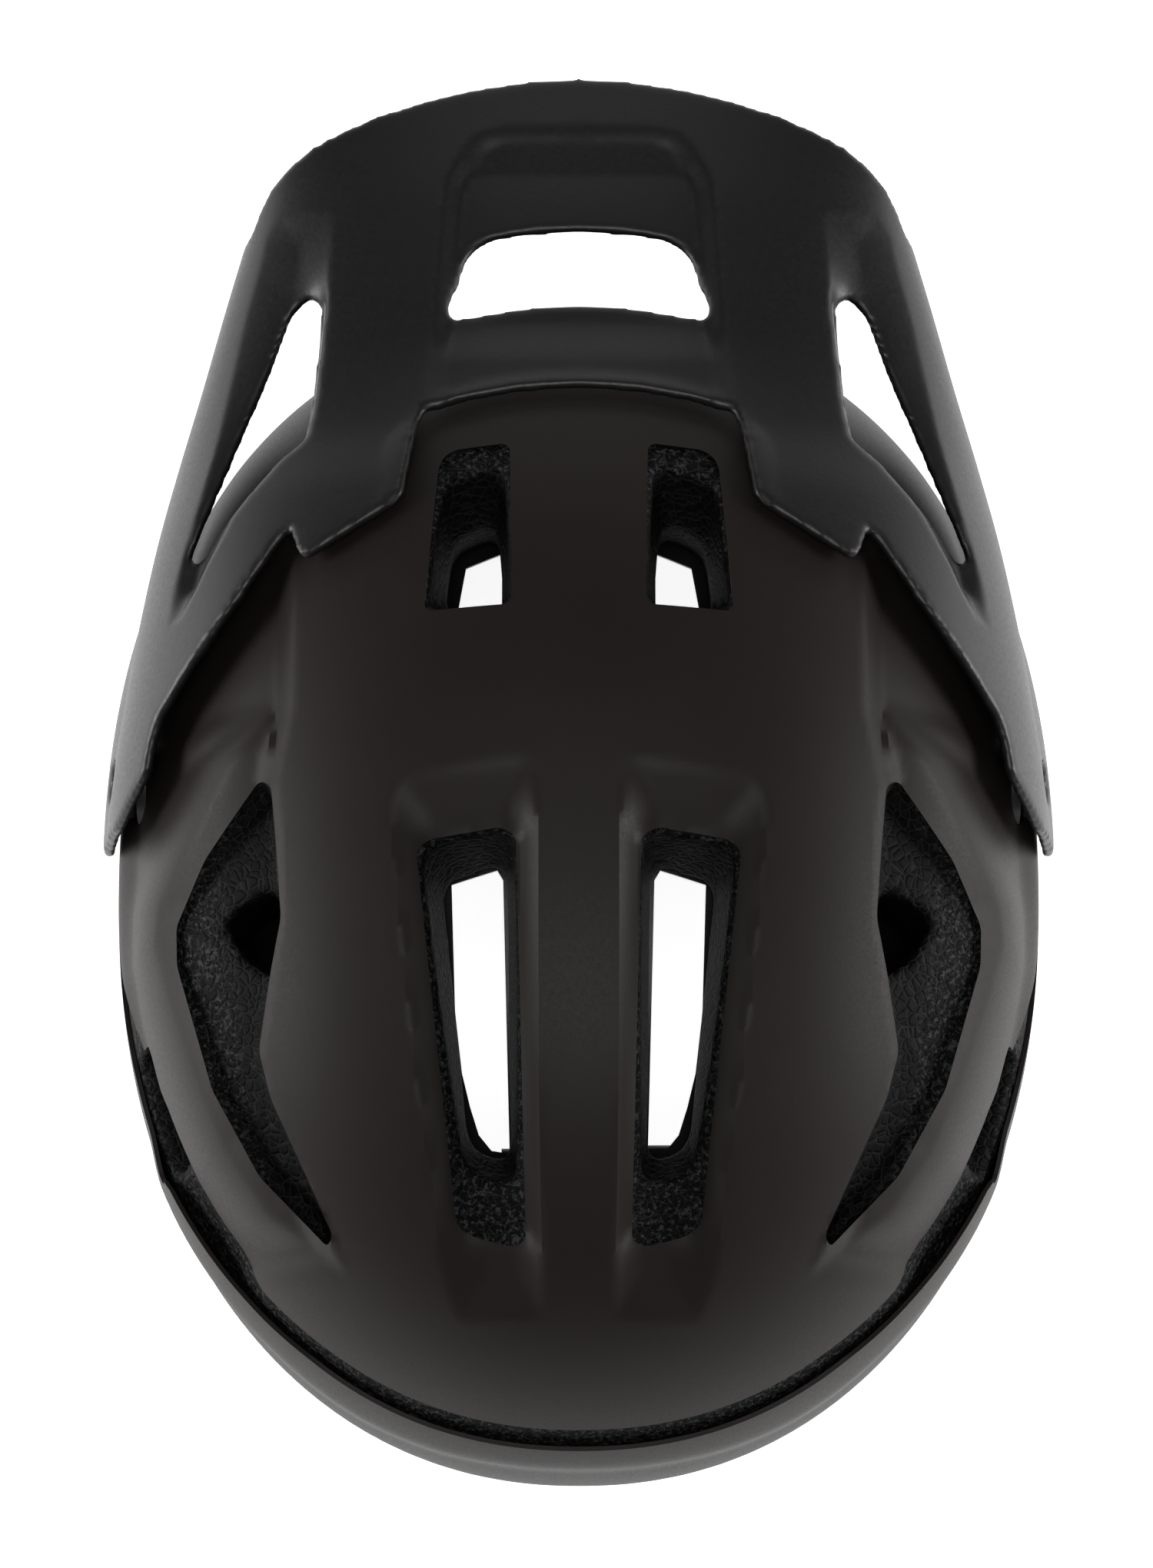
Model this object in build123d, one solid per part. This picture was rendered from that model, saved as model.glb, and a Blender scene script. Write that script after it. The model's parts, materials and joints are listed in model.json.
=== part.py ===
"""Trail bicycle helmet: foam liner, two-piece skin, tilting visor, slip liner, dial cradle, harness.

Millimetres, +Z up, the wearer looks along -Y, and the foam rim rests on z = 0.
"""

import os
from math import atan2, cos, degrees, pi, radians, sin

from build123d import *

# Superellipsoids: half width, half length, girth height, rise above it, drop below it.
SKIN = (106.0, 135.5, 45.0, 108.0, 95.0)
HEAD = (82.0, 103.0, 38.0, 84.0, 90.0)
FRONT_POWER, REAR_POWER, SECTION_POWER = 2.3, 2.15, 2.3
SKIN_WALL = 1.0
RING_LEVELS = (0.97, 0.9, 0.8, 0.66, 0.5, 0.34, 0.18, 0.07)

# Rim seen from the side, and the two lines between which the foam shows, as (y, z).
RIM = [(-160, 11), (-122, 11), (-95, 0), (-42, 0), (-20, 24), (22, 24), (46, 0), (160, 0)]
REAR_ARCH = [(-62, 0), (-54, 16), (-40, 38), (-28, 45.5), (28, 45.5), (40, 38), (54, 16), (62, 0)]
UPPER_EDGE = [(-160, 34), (-100, 38), (-60, 44), (-20, 52), (20, 63), (43, 75), (54, 81),
              (70, 84), (90, 86.5), (110, 89), (122, 90), (160, 93)]
LOWER_EDGE = [(-160, 31), (-100, 35), (-60, 41), (-20, 48), (20, 55), (38, 59), (60, 62),
              (71, 71), (82, 75), (95, 79), (110, 82.3), (125, 83.5), (160, 86.5)]
SKIN_HEM = 3.0

# Vents in plan, as (x, y) on the wearer's left; each funnel runs from its mouth to its window.
FRONT_MOUTH = [(30.9, -82.5), (28.3, -85.5), (15.3, -86.9), (14.7, -46.7), (33.9, -45.6)]
FRONT_WINDOW = [(28.4, -66.5), (26.4, -69.3), (18.0, -72.7), (16.6, -52.0), (30.0, -51.5)]
FRONT_CLEAR = [(25.4, -66.1), (17.3, -69.5), (17.2, -53.0), (27.4, -52.5)]
MID_MOUTH = [(35.3, 7.6), (32.8, 5.2), (17.5, 2.7), (14.1, 4.9), (11.9, 90.6), (15.0, 91.3),
             (23.5, 89.1), (26.0, 87.1)]
MID_WINDOW = [(29.6, 12.5), (28.2, 10.2), (18.2, 7.2), (16.2, 9.6), (14.8, 70.0), (16.0, 71.6),
              (22.6, 69.4), (24.6, 65.0)]
MID_CLEAR = [(28.1, 9.6), (18.0, 6.8), (16.7, 9.0), (15.3, 67.5), (19.3, 66.8), (22.1, 63.5),
             (24.0, 57.7), (25.8, 50.5), (27.3, 37.4)]
SIDE_MOUTH = [(70.2, -11.3), (67.5, -9.4), (66.2, 4.8), (65.0, 20.5), (67.3, 32.0), (70.0, 48.3),
              (67.4, 58.4), (53.7, 87.7), (54.9, 90.2), (70.3, 73.9), (80.9, 54.5), (89.2, 26.1),
              (89.4, 17.4), (82.7, 4.4)]
SIDE_SCOOP = [(66.0, 12.5), (72.0, 13.5), (77.0, 16.5), (77.0, 20.0), (73.6, 26.0), (66.2, 32.0)]
SIDE_SLOPE = (7.7, 0.0, -15.7)
FUNNEL_TOP, FUNNEL_LOW = 150.0, 118.0
EXHAUST = (60.0, 34.0, 13.0)
EXHAUST_AT, EXHAUST_TURN = (84.0, 50.0, 70.5), 28.0

# Visor: for each y, the arch's half width, foot height and crown height.
VISOR_SECTIONS = [(-192, 62.5, 96.4, 101.5), (-181, 66.3, 94.2, 105.0), (-165, 71.2, 91.0, 110.2),
                  (-150, 75.1, 88.0, 115.0), (-130, 81.0, 84.2, 120.0), (-110, 86.7, 80.5, 124.7),
                  (-94, 91.5, 77.0, 131.0), (-76, 96.4, 73.5, 141.0), (-58, 100.4, 69.6, 148.0),
                  (-41, 103.6, 66.0, 152.6), (-22, 106.7, 62.0, 155.2), (-2, 108.6, 58.0, 156.5)]
VISOR_WALL, VISOR_GAP = 2.4, 1.0
VISOR_PLAN = [(0, -180.5), (12, -179.7), (24, -177.8), (36, -174.8), (46, -171.5), (54, -168.2),
              (60.5, -165), (66, -161.2), (70, -157), (73, -152), (75.2, -146), (130, -146), (130, -8),
              (104.5, -8), (102, -11), (97, -17.5), (96, -24), (94.3, -29), (86, -40), (76.5, -52),
              (66.5, -66), (64.2, -68.5), (63, -64), (62, -61.2), (60, -60.8), (42, -71.6),
              (39.2, -74.5), (36.2, -93.5), (34.4, -97), (26, -99.4), (13, -101.8), (0, -102.6)]
VISOR_WINDOW = [(0, -142), (12, -141.2), (20, -139.8), (24, -137.3), (26.2, -133.5), (29.2, -121.5),
                (28.4, -119.8), (26, -119.8), (13, -122.2), (0, -123)]
VISOR_SLOT = [(61.4, -127.3), (59.6, -126.9), (58.2, -124.7), (58.8, -115.7), (60.3, -99.4), (61.6, -92),
              (67.9, -86.6), (77.5, -75.9), (87, -62), (88.9, -53), (90, -55), (88.4, -63), (84.4, -73.8),
              (76.9, -94.2), (69.8, -112), (65.7, -123.4), (63.9, -126.1)]
PIVOT_Y, PIVOT_Z = -22.0, 76.0
PIN_R, BOSS_R, SOCKET_R = 3.0, 8.0, 9.5
SOCKET_FACE, BOSS_IN, SEAT_X, HEAD_X, HEAD_R = 100.2, 100.6, 103.0, 104.6, 4.6

# Slip liner, its elastomer plugs and the pads that ride on it.
SLIP_GAP, SLIP_WALL, PAD_BACK, PAD_FACE = 2.0, 0.8, 3.1, 8.6
SLIP_EDGE = [(-160, 24), (-60, 24), (-35, 42), (58, 46), (72, 67), (160, 67)]
PLUG_SPOTS = [(-46.0, 64.0), (24.0, 58.0)]
PLUG_R, PLUG_HOLE_R, PLUG_HEAD_R = 2.2, 6.6, 9.0

# Dial cradle: concentric arcs about a vertical axis at y = ARC_Y.
ARC_Y, ARM_R, ARM_HALF = 18.0, 77.0, 0.8
DIAL_Z, PITCH_R, TEETH = 28.0, 4.0, 10
ADDENDUM, DEDENDUM = 0.65, 0.95
ARM_LOW, ARM_HIGH = 20.8, 35.2
HOUSING_LOW, HOUSING_HIGH, HOUSING_SWEEP, WING_SWEEP = 15.5, 40.5, 17.0, 27.0
KNOB_R, KNOB_FROM, KNOB_TO = 11.5, 102.5, 111.5
GEAR_FROM, GEAR_TO, SHAFT_R, SHAFT_TO = 93.9, 96.9, 2.2, 108.0
YOKE = (18.0, 2.0)
YOKE_Y, YOKE_TOP = 94.9, 60.0
GUIDE_LOW, GUIDE_HIGH = 49.0, 58.0

# Harness webbing, standing on edge inside the head opening.
WEB_THICK, WEB_LOW, WEB_HIGH = 1.5, 4.0, 19.0
FRONT_WEB = [(71.0, -53.0), (65.0, -14.0), (64.0, -1.2), (42.0, -1.2)]
REAR_WEB = [(68.0, 57.0), (64.5, 14.0), (64.0, 1.2), (45.0, 1.2)]
SOCKET_RUN_Y, TONGUE_RUN_Y = 58.0, 54.6
DIVIDER_X, DIVIDER_LONG = 53.0, 8.0
KEEPER_X, KEEPER_LONG = 26.5, 5.0
BUCKLE_LOW, BUCKLE_HIGH = 1.5, 21.5
MAGNET_R, MAGNET_THICK, SOCKET_MAGNET, TONGUE_MAGNET = 3.0, 1.5, 3.1, 1.5


def oval(half_x, half_y, z):
    """Closed superellipse wire, blunter in front than behind."""
    points = []
    for step in range(28):
        turn = 2 * pi * step / 28
        power = FRONT_POWER if sin(turn) < 0 else REAR_POWER
        reach = (abs(cos(turn)) ** power + abs(sin(turn)) ** power) ** (-1 / power)
        points.append((half_x * reach * cos(turn), half_y * reach * sin(turn), z))
    return Wire(Edge.make_spline([Vector(*p) for p in points], periodic=True))


def dome(form, inset, floor=-5.0):
    """Solid superellipsoid, every half axis shortened by inset, closed by a floor."""
    half_x, half_y, girth, rise, drop = form
    half_x, half_y, rise, drop = half_x - inset, half_y - inset, rise - inset, drop - inset
    rings = []
    for z in (floor, (floor + girth) / 2, girth):
        share = (1 - (abs(z - girth) / drop) ** SECTION_POWER) ** (1 / SECTION_POWER)
        rings.append(oval(half_x * share, half_y * share, z))
    for share in RING_LEVELS:
        z = girth + rise * (1 - share ** SECTION_POWER) ** (1 / SECTION_POWER)
        rings.append(oval(half_x * share, half_y * share, z))
    return Solid.make_loft([*rings, Vertex(0, 0, girth + rise)], False)


def wall_x(form, inset, y, z):
    """Where the dome's left wall is at (y, z)."""
    half_x, half_y, girth, rise, drop = form
    power = FRONT_POWER if y < 0 else REAR_POWER
    depth = (rise if z > girth else drop) - inset
    share = (1 - (abs(z - girth) / depth) ** SECTION_POWER) ** (1 / SECTION_POWER)
    rest = 1 - (abs(y) / ((half_y - inset) * share)) ** power
    return (half_x - inset) * share * rest ** (1 / power)


def wall_plane(form, y, z):
    """Plane on the dome's left wall, its Z along the outward normal."""
    x = wall_x(form, 0, y, z)
    slope_y = (wall_x(form, 0, y + 1, z) - wall_x(form, 0, y - 1, z)) / 2
    slope_z = (wall_x(form, 0, y, z + 1) - wall_x(form, 0, y, z - 1)) / 2
    return Plane(origin=(x, y, z), x_dir=(slope_y, 1, 0), z_dir=(1, -slope_y, -slope_z))


def plan_prism(points, low, high):
    """Prism standing on a plan outline."""
    face = make_face(Polyline(*points, close=True))
    return Pos(0, 0, low) * extrude(face, high - low)


def side_prism(line, end_z):
    """Everything between a (y, z) line and the level end_z, right across the helmet."""
    points = [*line, (line[-1][0], end_z), (line[0][0], end_z)]
    return extrude(Plane.YZ * make_face(Polyline(*points, close=True)), 160, both=True)


def funnel(mouth, window, top, low, depth=60.0):
    """Vent that narrows from its mouth to its window and then runs straight down."""
    upper = Pos(0, 0, top) * make_face(Polyline(*mouth, close=True))
    lower = Pos(0, 0, low) * make_face(Polyline(*window, close=True))
    body = loft([lower, upper], ruled=True)
    return body + plan_prism(mouth, top, top + 30) + plan_prism(window, low - depth, low)


def both_sides(shape):
    """The shape with its mirror image."""
    return shape + mirror(shape, Plane.YZ)


def on_right(shape):
    """The mirror image of a left-hand piece."""
    return mirror(shape, Plane.YZ)


def box(x0, x1, y0, y1, z0, z1):
    """Box between two corners."""
    return Pos((x0 + x1) / 2, (y0 + y1) / 2, (z0 + z1) / 2) * Box(x1 - x0, y1 - y0, z1 - z0)


def rod(radius, x0, x1, y, z):
    """Cylinder along X."""
    return Pos((x0 + x1) / 2, y, z) * Rot(0, 90, 0) * Cylinder(radius, x1 - x0)


def rod_y(radius, y0, y1, x, z):
    """Cylinder along Y."""
    return Pos(x, (y0 + y1) / 2, z) * Rot(90, 0, 0) * Cylinder(radius, y1 - y0)


def arc_band(inner, outer, low, high, start, end):
    """Part of a ring about the cradle axis; angles from straight back, positive to the left."""
    steps = [start + (end - start) * i / 6 for i in range(7)]
    fan = [(0.0, ARC_Y)] + [(140 * sin(radians(t)), ARC_Y + 140 * cos(radians(t))) for t in steps]
    middle = Pos(0, ARC_Y, (low + high) / 2)
    ring = middle * Cylinder(outer, high - low) - middle * Cylinder(inner, high - low + 2)
    return ring & plan_prism(fan, low - 1, high + 1)


def ribbon(points, corner=3.0, low=WEB_LOW, high=WEB_HIGH):
    """Webbing standing on edge along a plan path."""
    path = FilletPolyline(*points, radius=corner)
    return Pos(0, 0, low) * extrude(trace(path, WEB_THICK), high - low)


def vents():
    """Funnels through the foam under the vents, both sides."""
    front = funnel(FRONT_MOUTH, FRONT_WINDOW, FUNNEL_TOP - 4, FUNNEL_LOW)
    middle = funnel(MID_MOUTH, MID_WINDOW, FUNNEL_TOP, FUNNEL_LOW)
    side = plan_prism(SIDE_MOUTH, 90, 170) - Pos(*SIDE_SLOPE) * dome(SKIN, 0)
    side = side + plan_prism(SIDE_SCOOP, 55, 140)
    return [front, on_right(front), middle, on_right(middle), side, on_right(side)]


def skin_mouths():
    """Holes in the upper skin over the vents, both sides."""
    return [both_sides(plan_prism(outline, 90, 170)) for outline in (FRONT_MOUTH, MID_MOUTH, SIDE_MOUTH)]


def exhaust_port():
    """Slanted port behind each ear."""
    return Pos(*EXHAUST_AT) * Rot(0, 0, EXHAUST_TURN) * Box(*EXHAUST)


def rim_cut(rise=0.0):
    """What lies below the rim, with the arch for the dial."""
    line = [(y, z + rise) for y, z in RIM]
    arch = [(x * (1 + rise / 40), z + rise) for x, z in REAR_ARCH]
    outline = Polyline((arch[0][0], -60), *arch, (arch[-1][0], -60), close=True)
    nape = Pos(0, 160, 0) * extrude(Plane.XZ * make_face(outline), 100)
    return side_prism(line, -60) + nape


def foam_liner():
    """Energy-absorbing foam between the skin and the head."""
    body = dome(SKIN, SKIN_WALL) - dome(HEAD, 0, -8.0) - rim_cut()
    for vent in vents():
        body = body - vent
    body = body - both_sides(exhaust_port())
    body = body - both_sides(rod(SOCKET_R, 92, 120, PIVOT_Y, PIVOT_Z))
    for block in anchor_blocks().values():
        body = body - block
    body = body - guide_block()
    for plug in plugs():
        body = body - plug
    return body


def skin():
    """The thin skin before it is split into two."""
    return dome(SKIN, 0) - dome(SKIN, SKIN_WALL)


def upper_shell():
    """Upper skin with the vents and the holes for the visor sockets."""
    body = skin() - side_prism(UPPER_EDGE, -60)
    for mouth in skin_mouths():
        body = body - mouth
    body = body - both_sides(exhaust_port())
    return body - both_sides(rod(SOCKET_R, 92, 120, PIVOT_Y, PIVOT_Z))


def lower_shell():
    """Lower skin that wraps the rim."""
    body = skin() - side_prism(LOWER_EDGE, 200) - rim_cut(SKIN_HEM)
    return body - both_sides(exhaust_port())


def pivot_socket():
    """Socket moulded into the left side for the visor's pivot pin."""
    body = rod(SOCKET_R, 92, SOCKET_FACE, PIVOT_Y, PIVOT_Z)
    return body - rod(PIN_R + 0.05, 93.5, 120, PIVOT_Y, PIVOT_Z)


def arch_volume(inset, floor_drop):
    """Lofted block under the visor's curved face."""
    faces = []
    for y, half, foot, crown in VISOR_SECTIONS:
        half, tall = half - inset, crown - foot - inset
        points = []
        for step in range(17):
            turn = pi * step / 16
            reach = (abs(cos(turn)) ** 2.3 + abs(sin(turn)) ** 2.3) ** (-1 / 2.3)
            points.append(Vector(half * reach * cos(turn), y, foot + tall * reach * sin(turn)))
        top = Edge.make_spline(points)
        left, right = Vector(half, y, foot - floor_drop), Vector(-half, y, foot - floor_drop)
        edges = [top, Edge.make_line(points[-1], right), Edge.make_line(right, left),
                 Edge.make_line(left, points[0])]
        faces.append(Face(Wire(edges)))
    return loft(faces)


def mirrored_plan(points):
    """Closed outline made of a left half and its mirror image."""
    return points + [(-x, y) for x, y in reversed(points) if x > 0]


def visor():
    """Peak with two inner pivot bosses, a centre window and two side slots."""
    body = arch_volume(0.0, 0.5) - arch_volume(VISOR_WALL, 30.0)
    body = body & plan_prism(mirrored_plan(VISOR_PLAN), 40, 180)
    body = body - dome(SKIN, -VISOR_GAP)
    body = body - plan_prism(mirrored_plan(VISOR_WINDOW), 60, 180)
    body = body - both_sides(plan_prism(VISOR_SLOT, 60, 180))
    boss = rod(BOSS_R, BOSS_IN, 112, PIVOT_Y, PIVOT_Z) & arch_volume(0.0, 0.5)
    seat = rod(HEAD_R + 0.2, SEAT_X, 125, PIVOT_Y, PIVOT_Z)
    return body + both_sides(boss) - both_sides(rod(PIN_R, 90, 125, PIVOT_Y, PIVOT_Z) + seat)


def pivot_pin():
    """Flush screw through the visor's left boss into the socket."""
    head = rod(HEAD_R, SEAT_X, HEAD_X, PIVOT_Y, PIVOT_Z)
    head = head - box(HEAD_X - 0.9, HEAD_X + 1, PIVOT_Y - 0.7, PIVOT_Y + 0.7, PIVOT_Z - 6, PIVOT_Z + 6)
    return head + rod(PIN_R, 94, SEAT_X, PIVOT_Y, PIVOT_Z)


def windows_for_liner():
    """Cut-outs in the liner under the vents."""
    return both_sides(plan_prism(FRONT_CLEAR, 80, 140) + plan_prism(MID_CLEAR, 80, 140))


def plug_planes():
    """Planes of the two elastomer plugs on the left wall of the head opening."""
    return [wall_plane(HEAD, y, z) for y, z in PLUG_SPOTS]


def plug(plane):
    """Elastomer plug: root in the foam, shank through the liner, flat head inside."""
    root = plane * Pos(0, 0, 4.0) * Cylinder(5.0, 8.0)
    shank = plane * Pos(0, 0, -2.4) * Cylinder(PLUG_R, 5.0)
    head = plane * Pos(0, 0, -5.3) * Cylinder(PLUG_HEAD_R, 1.2)
    return root + shank + head


def plugs():
    """All four plugs."""
    left = [plug(plane) for plane in plug_planes()]
    return left + [on_right(piece) for piece in left]


def slip_liner():
    """Thin low-friction cap that turns a little inside the foam."""
    body = dome(HEAD, SLIP_GAP, -8.0) - dome(HEAD, SLIP_GAP + SLIP_WALL, -9.0)
    body = body - side_prism(SLIP_EDGE, -60) - windows_for_liner()
    for plane in plug_planes():
        body = body - both_sides(plane * Cylinder(PLUG_HOLE_R, 24))
    return body


def pad_layer():
    """The thickness in which every pad lies."""
    return dome(HEAD, PAD_BACK, -8.0) - dome(HEAD, PAD_FACE, -9.0)


def pads():
    """Comfort pads on the inside of the slip liner."""
    layer = pad_layer()
    crown = plan_prism([(-9, -50), (9, -50), (9, 55), (5, 60), (-5, 60), (-9, 55)], 85, 140)
    wing = plan_prism([(35, -42), (50, -38), (52, 0), (50, 30), (36, 44)], 60, 140)
    side = box(55, 95, -30, 8, 46, 72)
    brow = box(-56, 56, -120, -60, 26, 46)
    return {"crown_pad": layer & crown,
            "upper_pad_left": layer & wing,
            "upper_pad_right": on_right(layer & wing),
            "side_pad_left": layer & side,
            "side_pad_right": on_right(layer & side),
            "brow_pad": layer & brow}


def guide_block():
    """Outer form of the cradle guide that is set into the foam."""
    return box(-14, 14, YOKE_Y - 3.4, 106, GUIDE_LOW, GUIDE_HIGH)


def cradle_guide():
    """Guide that the cradle's yoke slides in."""
    slot = box(-YOKE[0] / 2 - 0.15, YOKE[0] / 2 + 0.15, YOKE_Y - 1.15, YOKE_Y + 1.15, 40, 70)
    return guide_block() - slot


def cradle_housing_back():
    """Outer half of the dial housing, with the track for both racks."""
    body = arc_band(75.8, 84.0, HOUSING_LOW, HOUSING_HIGH, -HOUSING_SWEEP, HOUSING_SWEEP)
    track = arc_band(75.0, 79.4, ARM_LOW - 0.4, ARM_HIGH + 0.4, -HOUSING_SWEEP - 5, HOUSING_SWEEP + 5)
    yoke = box(-YOKE[0] / 2, YOKE[0] / 2, YOKE_Y - 1, YOKE_Y + 1, HOUSING_HIGH - 3, 60)
    return body - track - yoke - rod_y(SHAFT_R + 0.05, 90, 120, 0, DIAL_Z)


def cradle_housing_front():
    """Inner half of the housing, drawn out into two wings."""
    body = arc_band(73.6, 75.7, HOUSING_LOW, HOUSING_HIGH, -WING_SWEEP, WING_SWEEP)
    for side in (-1, 1):
        at = Pos(75 * sin(radians(side * 22)), ARC_Y + 75 * cos(radians(side * 22)), 28)
        body = body - at * Rot(0, 0, -side * 22) * Rot(90, 0, 0) * Cylinder(4, 12)
    return body


def cradle_yoke():
    """Upright tongue that carries the housing in the guide."""
    body = box(-YOKE[0] / 2, YOKE[0] / 2, YOKE_Y - 1, YOKE_Y + 1, HOUSING_HIGH - 3, YOKE_TOP)
    return body - box(-5, 5, YOKE_Y - 2, YOKE_Y + 2, 46, 55)


def occipital_pad():
    """Pad on the left wing."""
    return arc_band(69.0, 73.5, HOUSING_LOW + 1.5, HOUSING_HIGH - 1.5, 6, WING_SWEEP - 1)


def rack_teeth(pitch_z, side, first, last):
    """Teeth along a cradle arm; side +1 has them pointing down at the gear from above."""
    pitch = 2 * pi * PITCH_R / TEETH
    teeth = []
    for index in range(first, last + 1):
        angle = degrees((index + 0.5) * pitch / ARM_R)
        half = degrees(0.25 * pitch / ARM_R)
        low = pitch_z - ADDENDUM if side > 0 else pitch_z - DEDENDUM
        high = pitch_z + DEDENDUM if side > 0 else pitch_z + ADDENDUM
        wide = arc_band(ARM_R - ARM_HALF, ARM_R + ARM_HALF, low if side < 0 else pitch_z,
                        high if side > 0 else pitch_z, angle - half, angle + half)
        thin = arc_band(ARM_R - ARM_HALF, ARM_R + ARM_HALF, low, high,
                        angle - half * 0.5, angle + half * 0.5)
        teeth.append(wide + thin)
    return teeth


def arm(side):
    """Cradle arm: the left one (side +1) has its rack above the gear, the right one below."""
    inner, outer = ARM_R - ARM_HALF, ARM_R + ARM_HALF
    root = PITCH_R + DEDENDUM
    low, high = (DIAL_Z + root, ARM_HIGH) if side > 0 else (ARM_LOW, DIAL_Z - root)
    tail = arc_band(inner, outer, low, high, *sorted((-11 * side, 23 * side)))
    blade = arc_band(inner, outer, ARM_LOW, ARM_HIGH, *sorted((21 * side, 78 * side)))
    tip = arc_band(inner - 1.2, inner, ARM_LOW + 1, ARM_HIGH - 1, *sorted((66 * side, 78 * side)))
    body = tail + blade + tip
    for middle in (34, 44, 54):
        slot = arc_band(inner - 3, outer + 3, 25.5, 30.5, *sorted(((middle - 3) * side, (middle + 3) * side)))
        body = body - slot
    for tooth in rack_teeth(DIAL_Z + side * PITCH_R, side, -5, 4):
        body = body + tooth
    return body


def dial_gear():
    """Small gear on the dial's shaft."""
    pitch = 360 / TEETH
    profile = []
    for index in range(TEETH):
        for offset, radius in ((-0.36, PITCH_R - DEDENDUM), (-0.19, PITCH_R), (-0.09, PITCH_R + ADDENDUM),
                               (0.09, PITCH_R + ADDENDUM), (0.19, PITCH_R), (0.36, PITCH_R - DEDENDUM)):
            turn = radians((index + offset) * pitch + 90)
            profile.append((radius * cos(turn), radius * sin(turn)))
    face = Plane.XZ * make_face(Polyline(*profile, close=True))
    gear = Pos(0, GEAR_TO, DIAL_Z) * extrude(face, GEAR_TO - GEAR_FROM)
    return gear + rod_y(SHAFT_R, GEAR_TO, SHAFT_TO, 0, DIAL_Z)


def dial_knob():
    """Fluted knob behind the nape."""
    body = rod_y(KNOB_R, KNOB_FROM, KNOB_TO, 0, DIAL_Z)
    for index in range(14):
        turn = 2 * pi * index / 14
        body = body - rod_y(1.3, KNOB_FROM - 1, KNOB_TO + 1, (KNOB_R + 0.4) * cos(turn),
                            DIAL_Z + (KNOB_R + 0.4) * sin(turn))
    body = body - rod_y(7.0, KNOB_TO - 1.2, KNOB_TO + 1, 0, DIAL_Z)
    return body - rod_y(SHAFT_R, KNOB_FROM - 1, SHAFT_TO, 0, DIAL_Z)


def anchor_blocks():
    """Harness anchors set into the foam, left and right, front and rear."""
    front = box(68.0, 83.0, -58.0, -46.0, 2.5, 20.0)
    rear = box(65.0, 80.0, 50.0, 62.0, 2.5, 20.0)
    return {"strap_anchor_front_left": front, "strap_anchor_front_right": on_right(front),
            "strap_anchor_rear_left": rear, "strap_anchor_rear_right": on_right(rear)}


def straps():
    """Harness webbing: the front straps run on to the buckle."""
    left = FRONT_WEB + [(44.0, SOCKET_RUN_Y), (11.0, SOCKET_RUN_Y)]
    right = FRONT_WEB + [(44.0, TONGUE_RUN_Y), (8.0, TONGUE_RUN_Y)]
    return {"strap_front_left": ribbon(left), "strap_front_right": on_right(ribbon(right)),
            "strap_rear_left": ribbon(REAR_WEB), "strap_rear_right": on_right(ribbon(REAR_WEB))}


def anchors_with_slots(webs):
    """Anchors, each cut to take the end of its strap."""
    cut = {}
    for name, block in anchor_blocks().items():
        cut[name] = block - webs[name.replace("anchor_", "")]
    return cut


def divider():
    """Left strap divider: a frame that both straps pass through."""
    half = DIVIDER_LONG / 2
    body = box(DIVIDER_X - half, DIVIDER_X + half, -4.4, 4.4, 2.2, 20.8)
    for y in (-1.2, 1.2):
        body = body - box(30, 80, y - 0.85, y + 0.85, WEB_LOW - 0.2, WEB_HIGH + 0.2)
    return body


def strap_keeper():
    """Elastic loop that holds the strap's tail."""
    outer = box(KEEPER_X - 2.5, KEEPER_X + 2.5, SOCKET_RUN_Y - 2.6, SOCKET_RUN_Y + 2.6, 2.4, 20.6)
    return outer - box(10, 50, SOCKET_RUN_Y - 0.9, SOCKET_RUN_Y + 0.9, WEB_LOW - 0.2, WEB_HIGH + 0.2)


def magnet(start):
    """Disc magnet whose face lies at a distance behind the socket's strap."""
    return rod_y(MAGNET_R, SOCKET_RUN_Y + start, SOCKET_RUN_Y + start + MAGNET_THICK, 2.0, 11.5)


def buckle_socket():
    """Magnetic buckle half on the left strap."""
    y = SOCKET_RUN_Y
    body = box(-6, 18, y - 4.8, y + 5.2, BUCKLE_LOW, BUCKLE_HIGH)
    body = fillet(body.edges().filter_by(Axis.X), 2.5)
    body = body - box(10.5, 20, y - 0.8, y + 0.8, WEB_LOW - 0.05, WEB_HIGH + 0.05)
    body = body - box(-8, 7, y - 0.7, y + 3.1, 4.8, 18.2)
    return body - magnet(SOCKET_MAGNET)


def buckle_tongue():
    """Magnetic buckle half that slides along the right strap."""
    y = SOCKET_RUN_Y
    body = box(-24, -6.3, y - 5.6, y + 5.2, BUCKLE_LOW, BUCKLE_HIGH)
    body = fillet(body.edges().filter_by(Axis.X), 2.5)
    body = body - box(-30, 0, TONGUE_RUN_Y - 0.9, TONGUE_RUN_Y + 0.9, WEB_LOW - 0.2, WEB_HIGH + 0.2)
    body = body + box(-7, 6, y - 0.6, y + 3.0, 4.9, 18.1)
    return body - magnet(TONGUE_MAGNET)


def buckle_magnets():
    """Disc magnets of the two buckle halves."""
    return {"magnet_socket": magnet(SOCKET_MAGNET), "magnet_tongue": magnet(TONGUE_MAGNET)}


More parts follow.
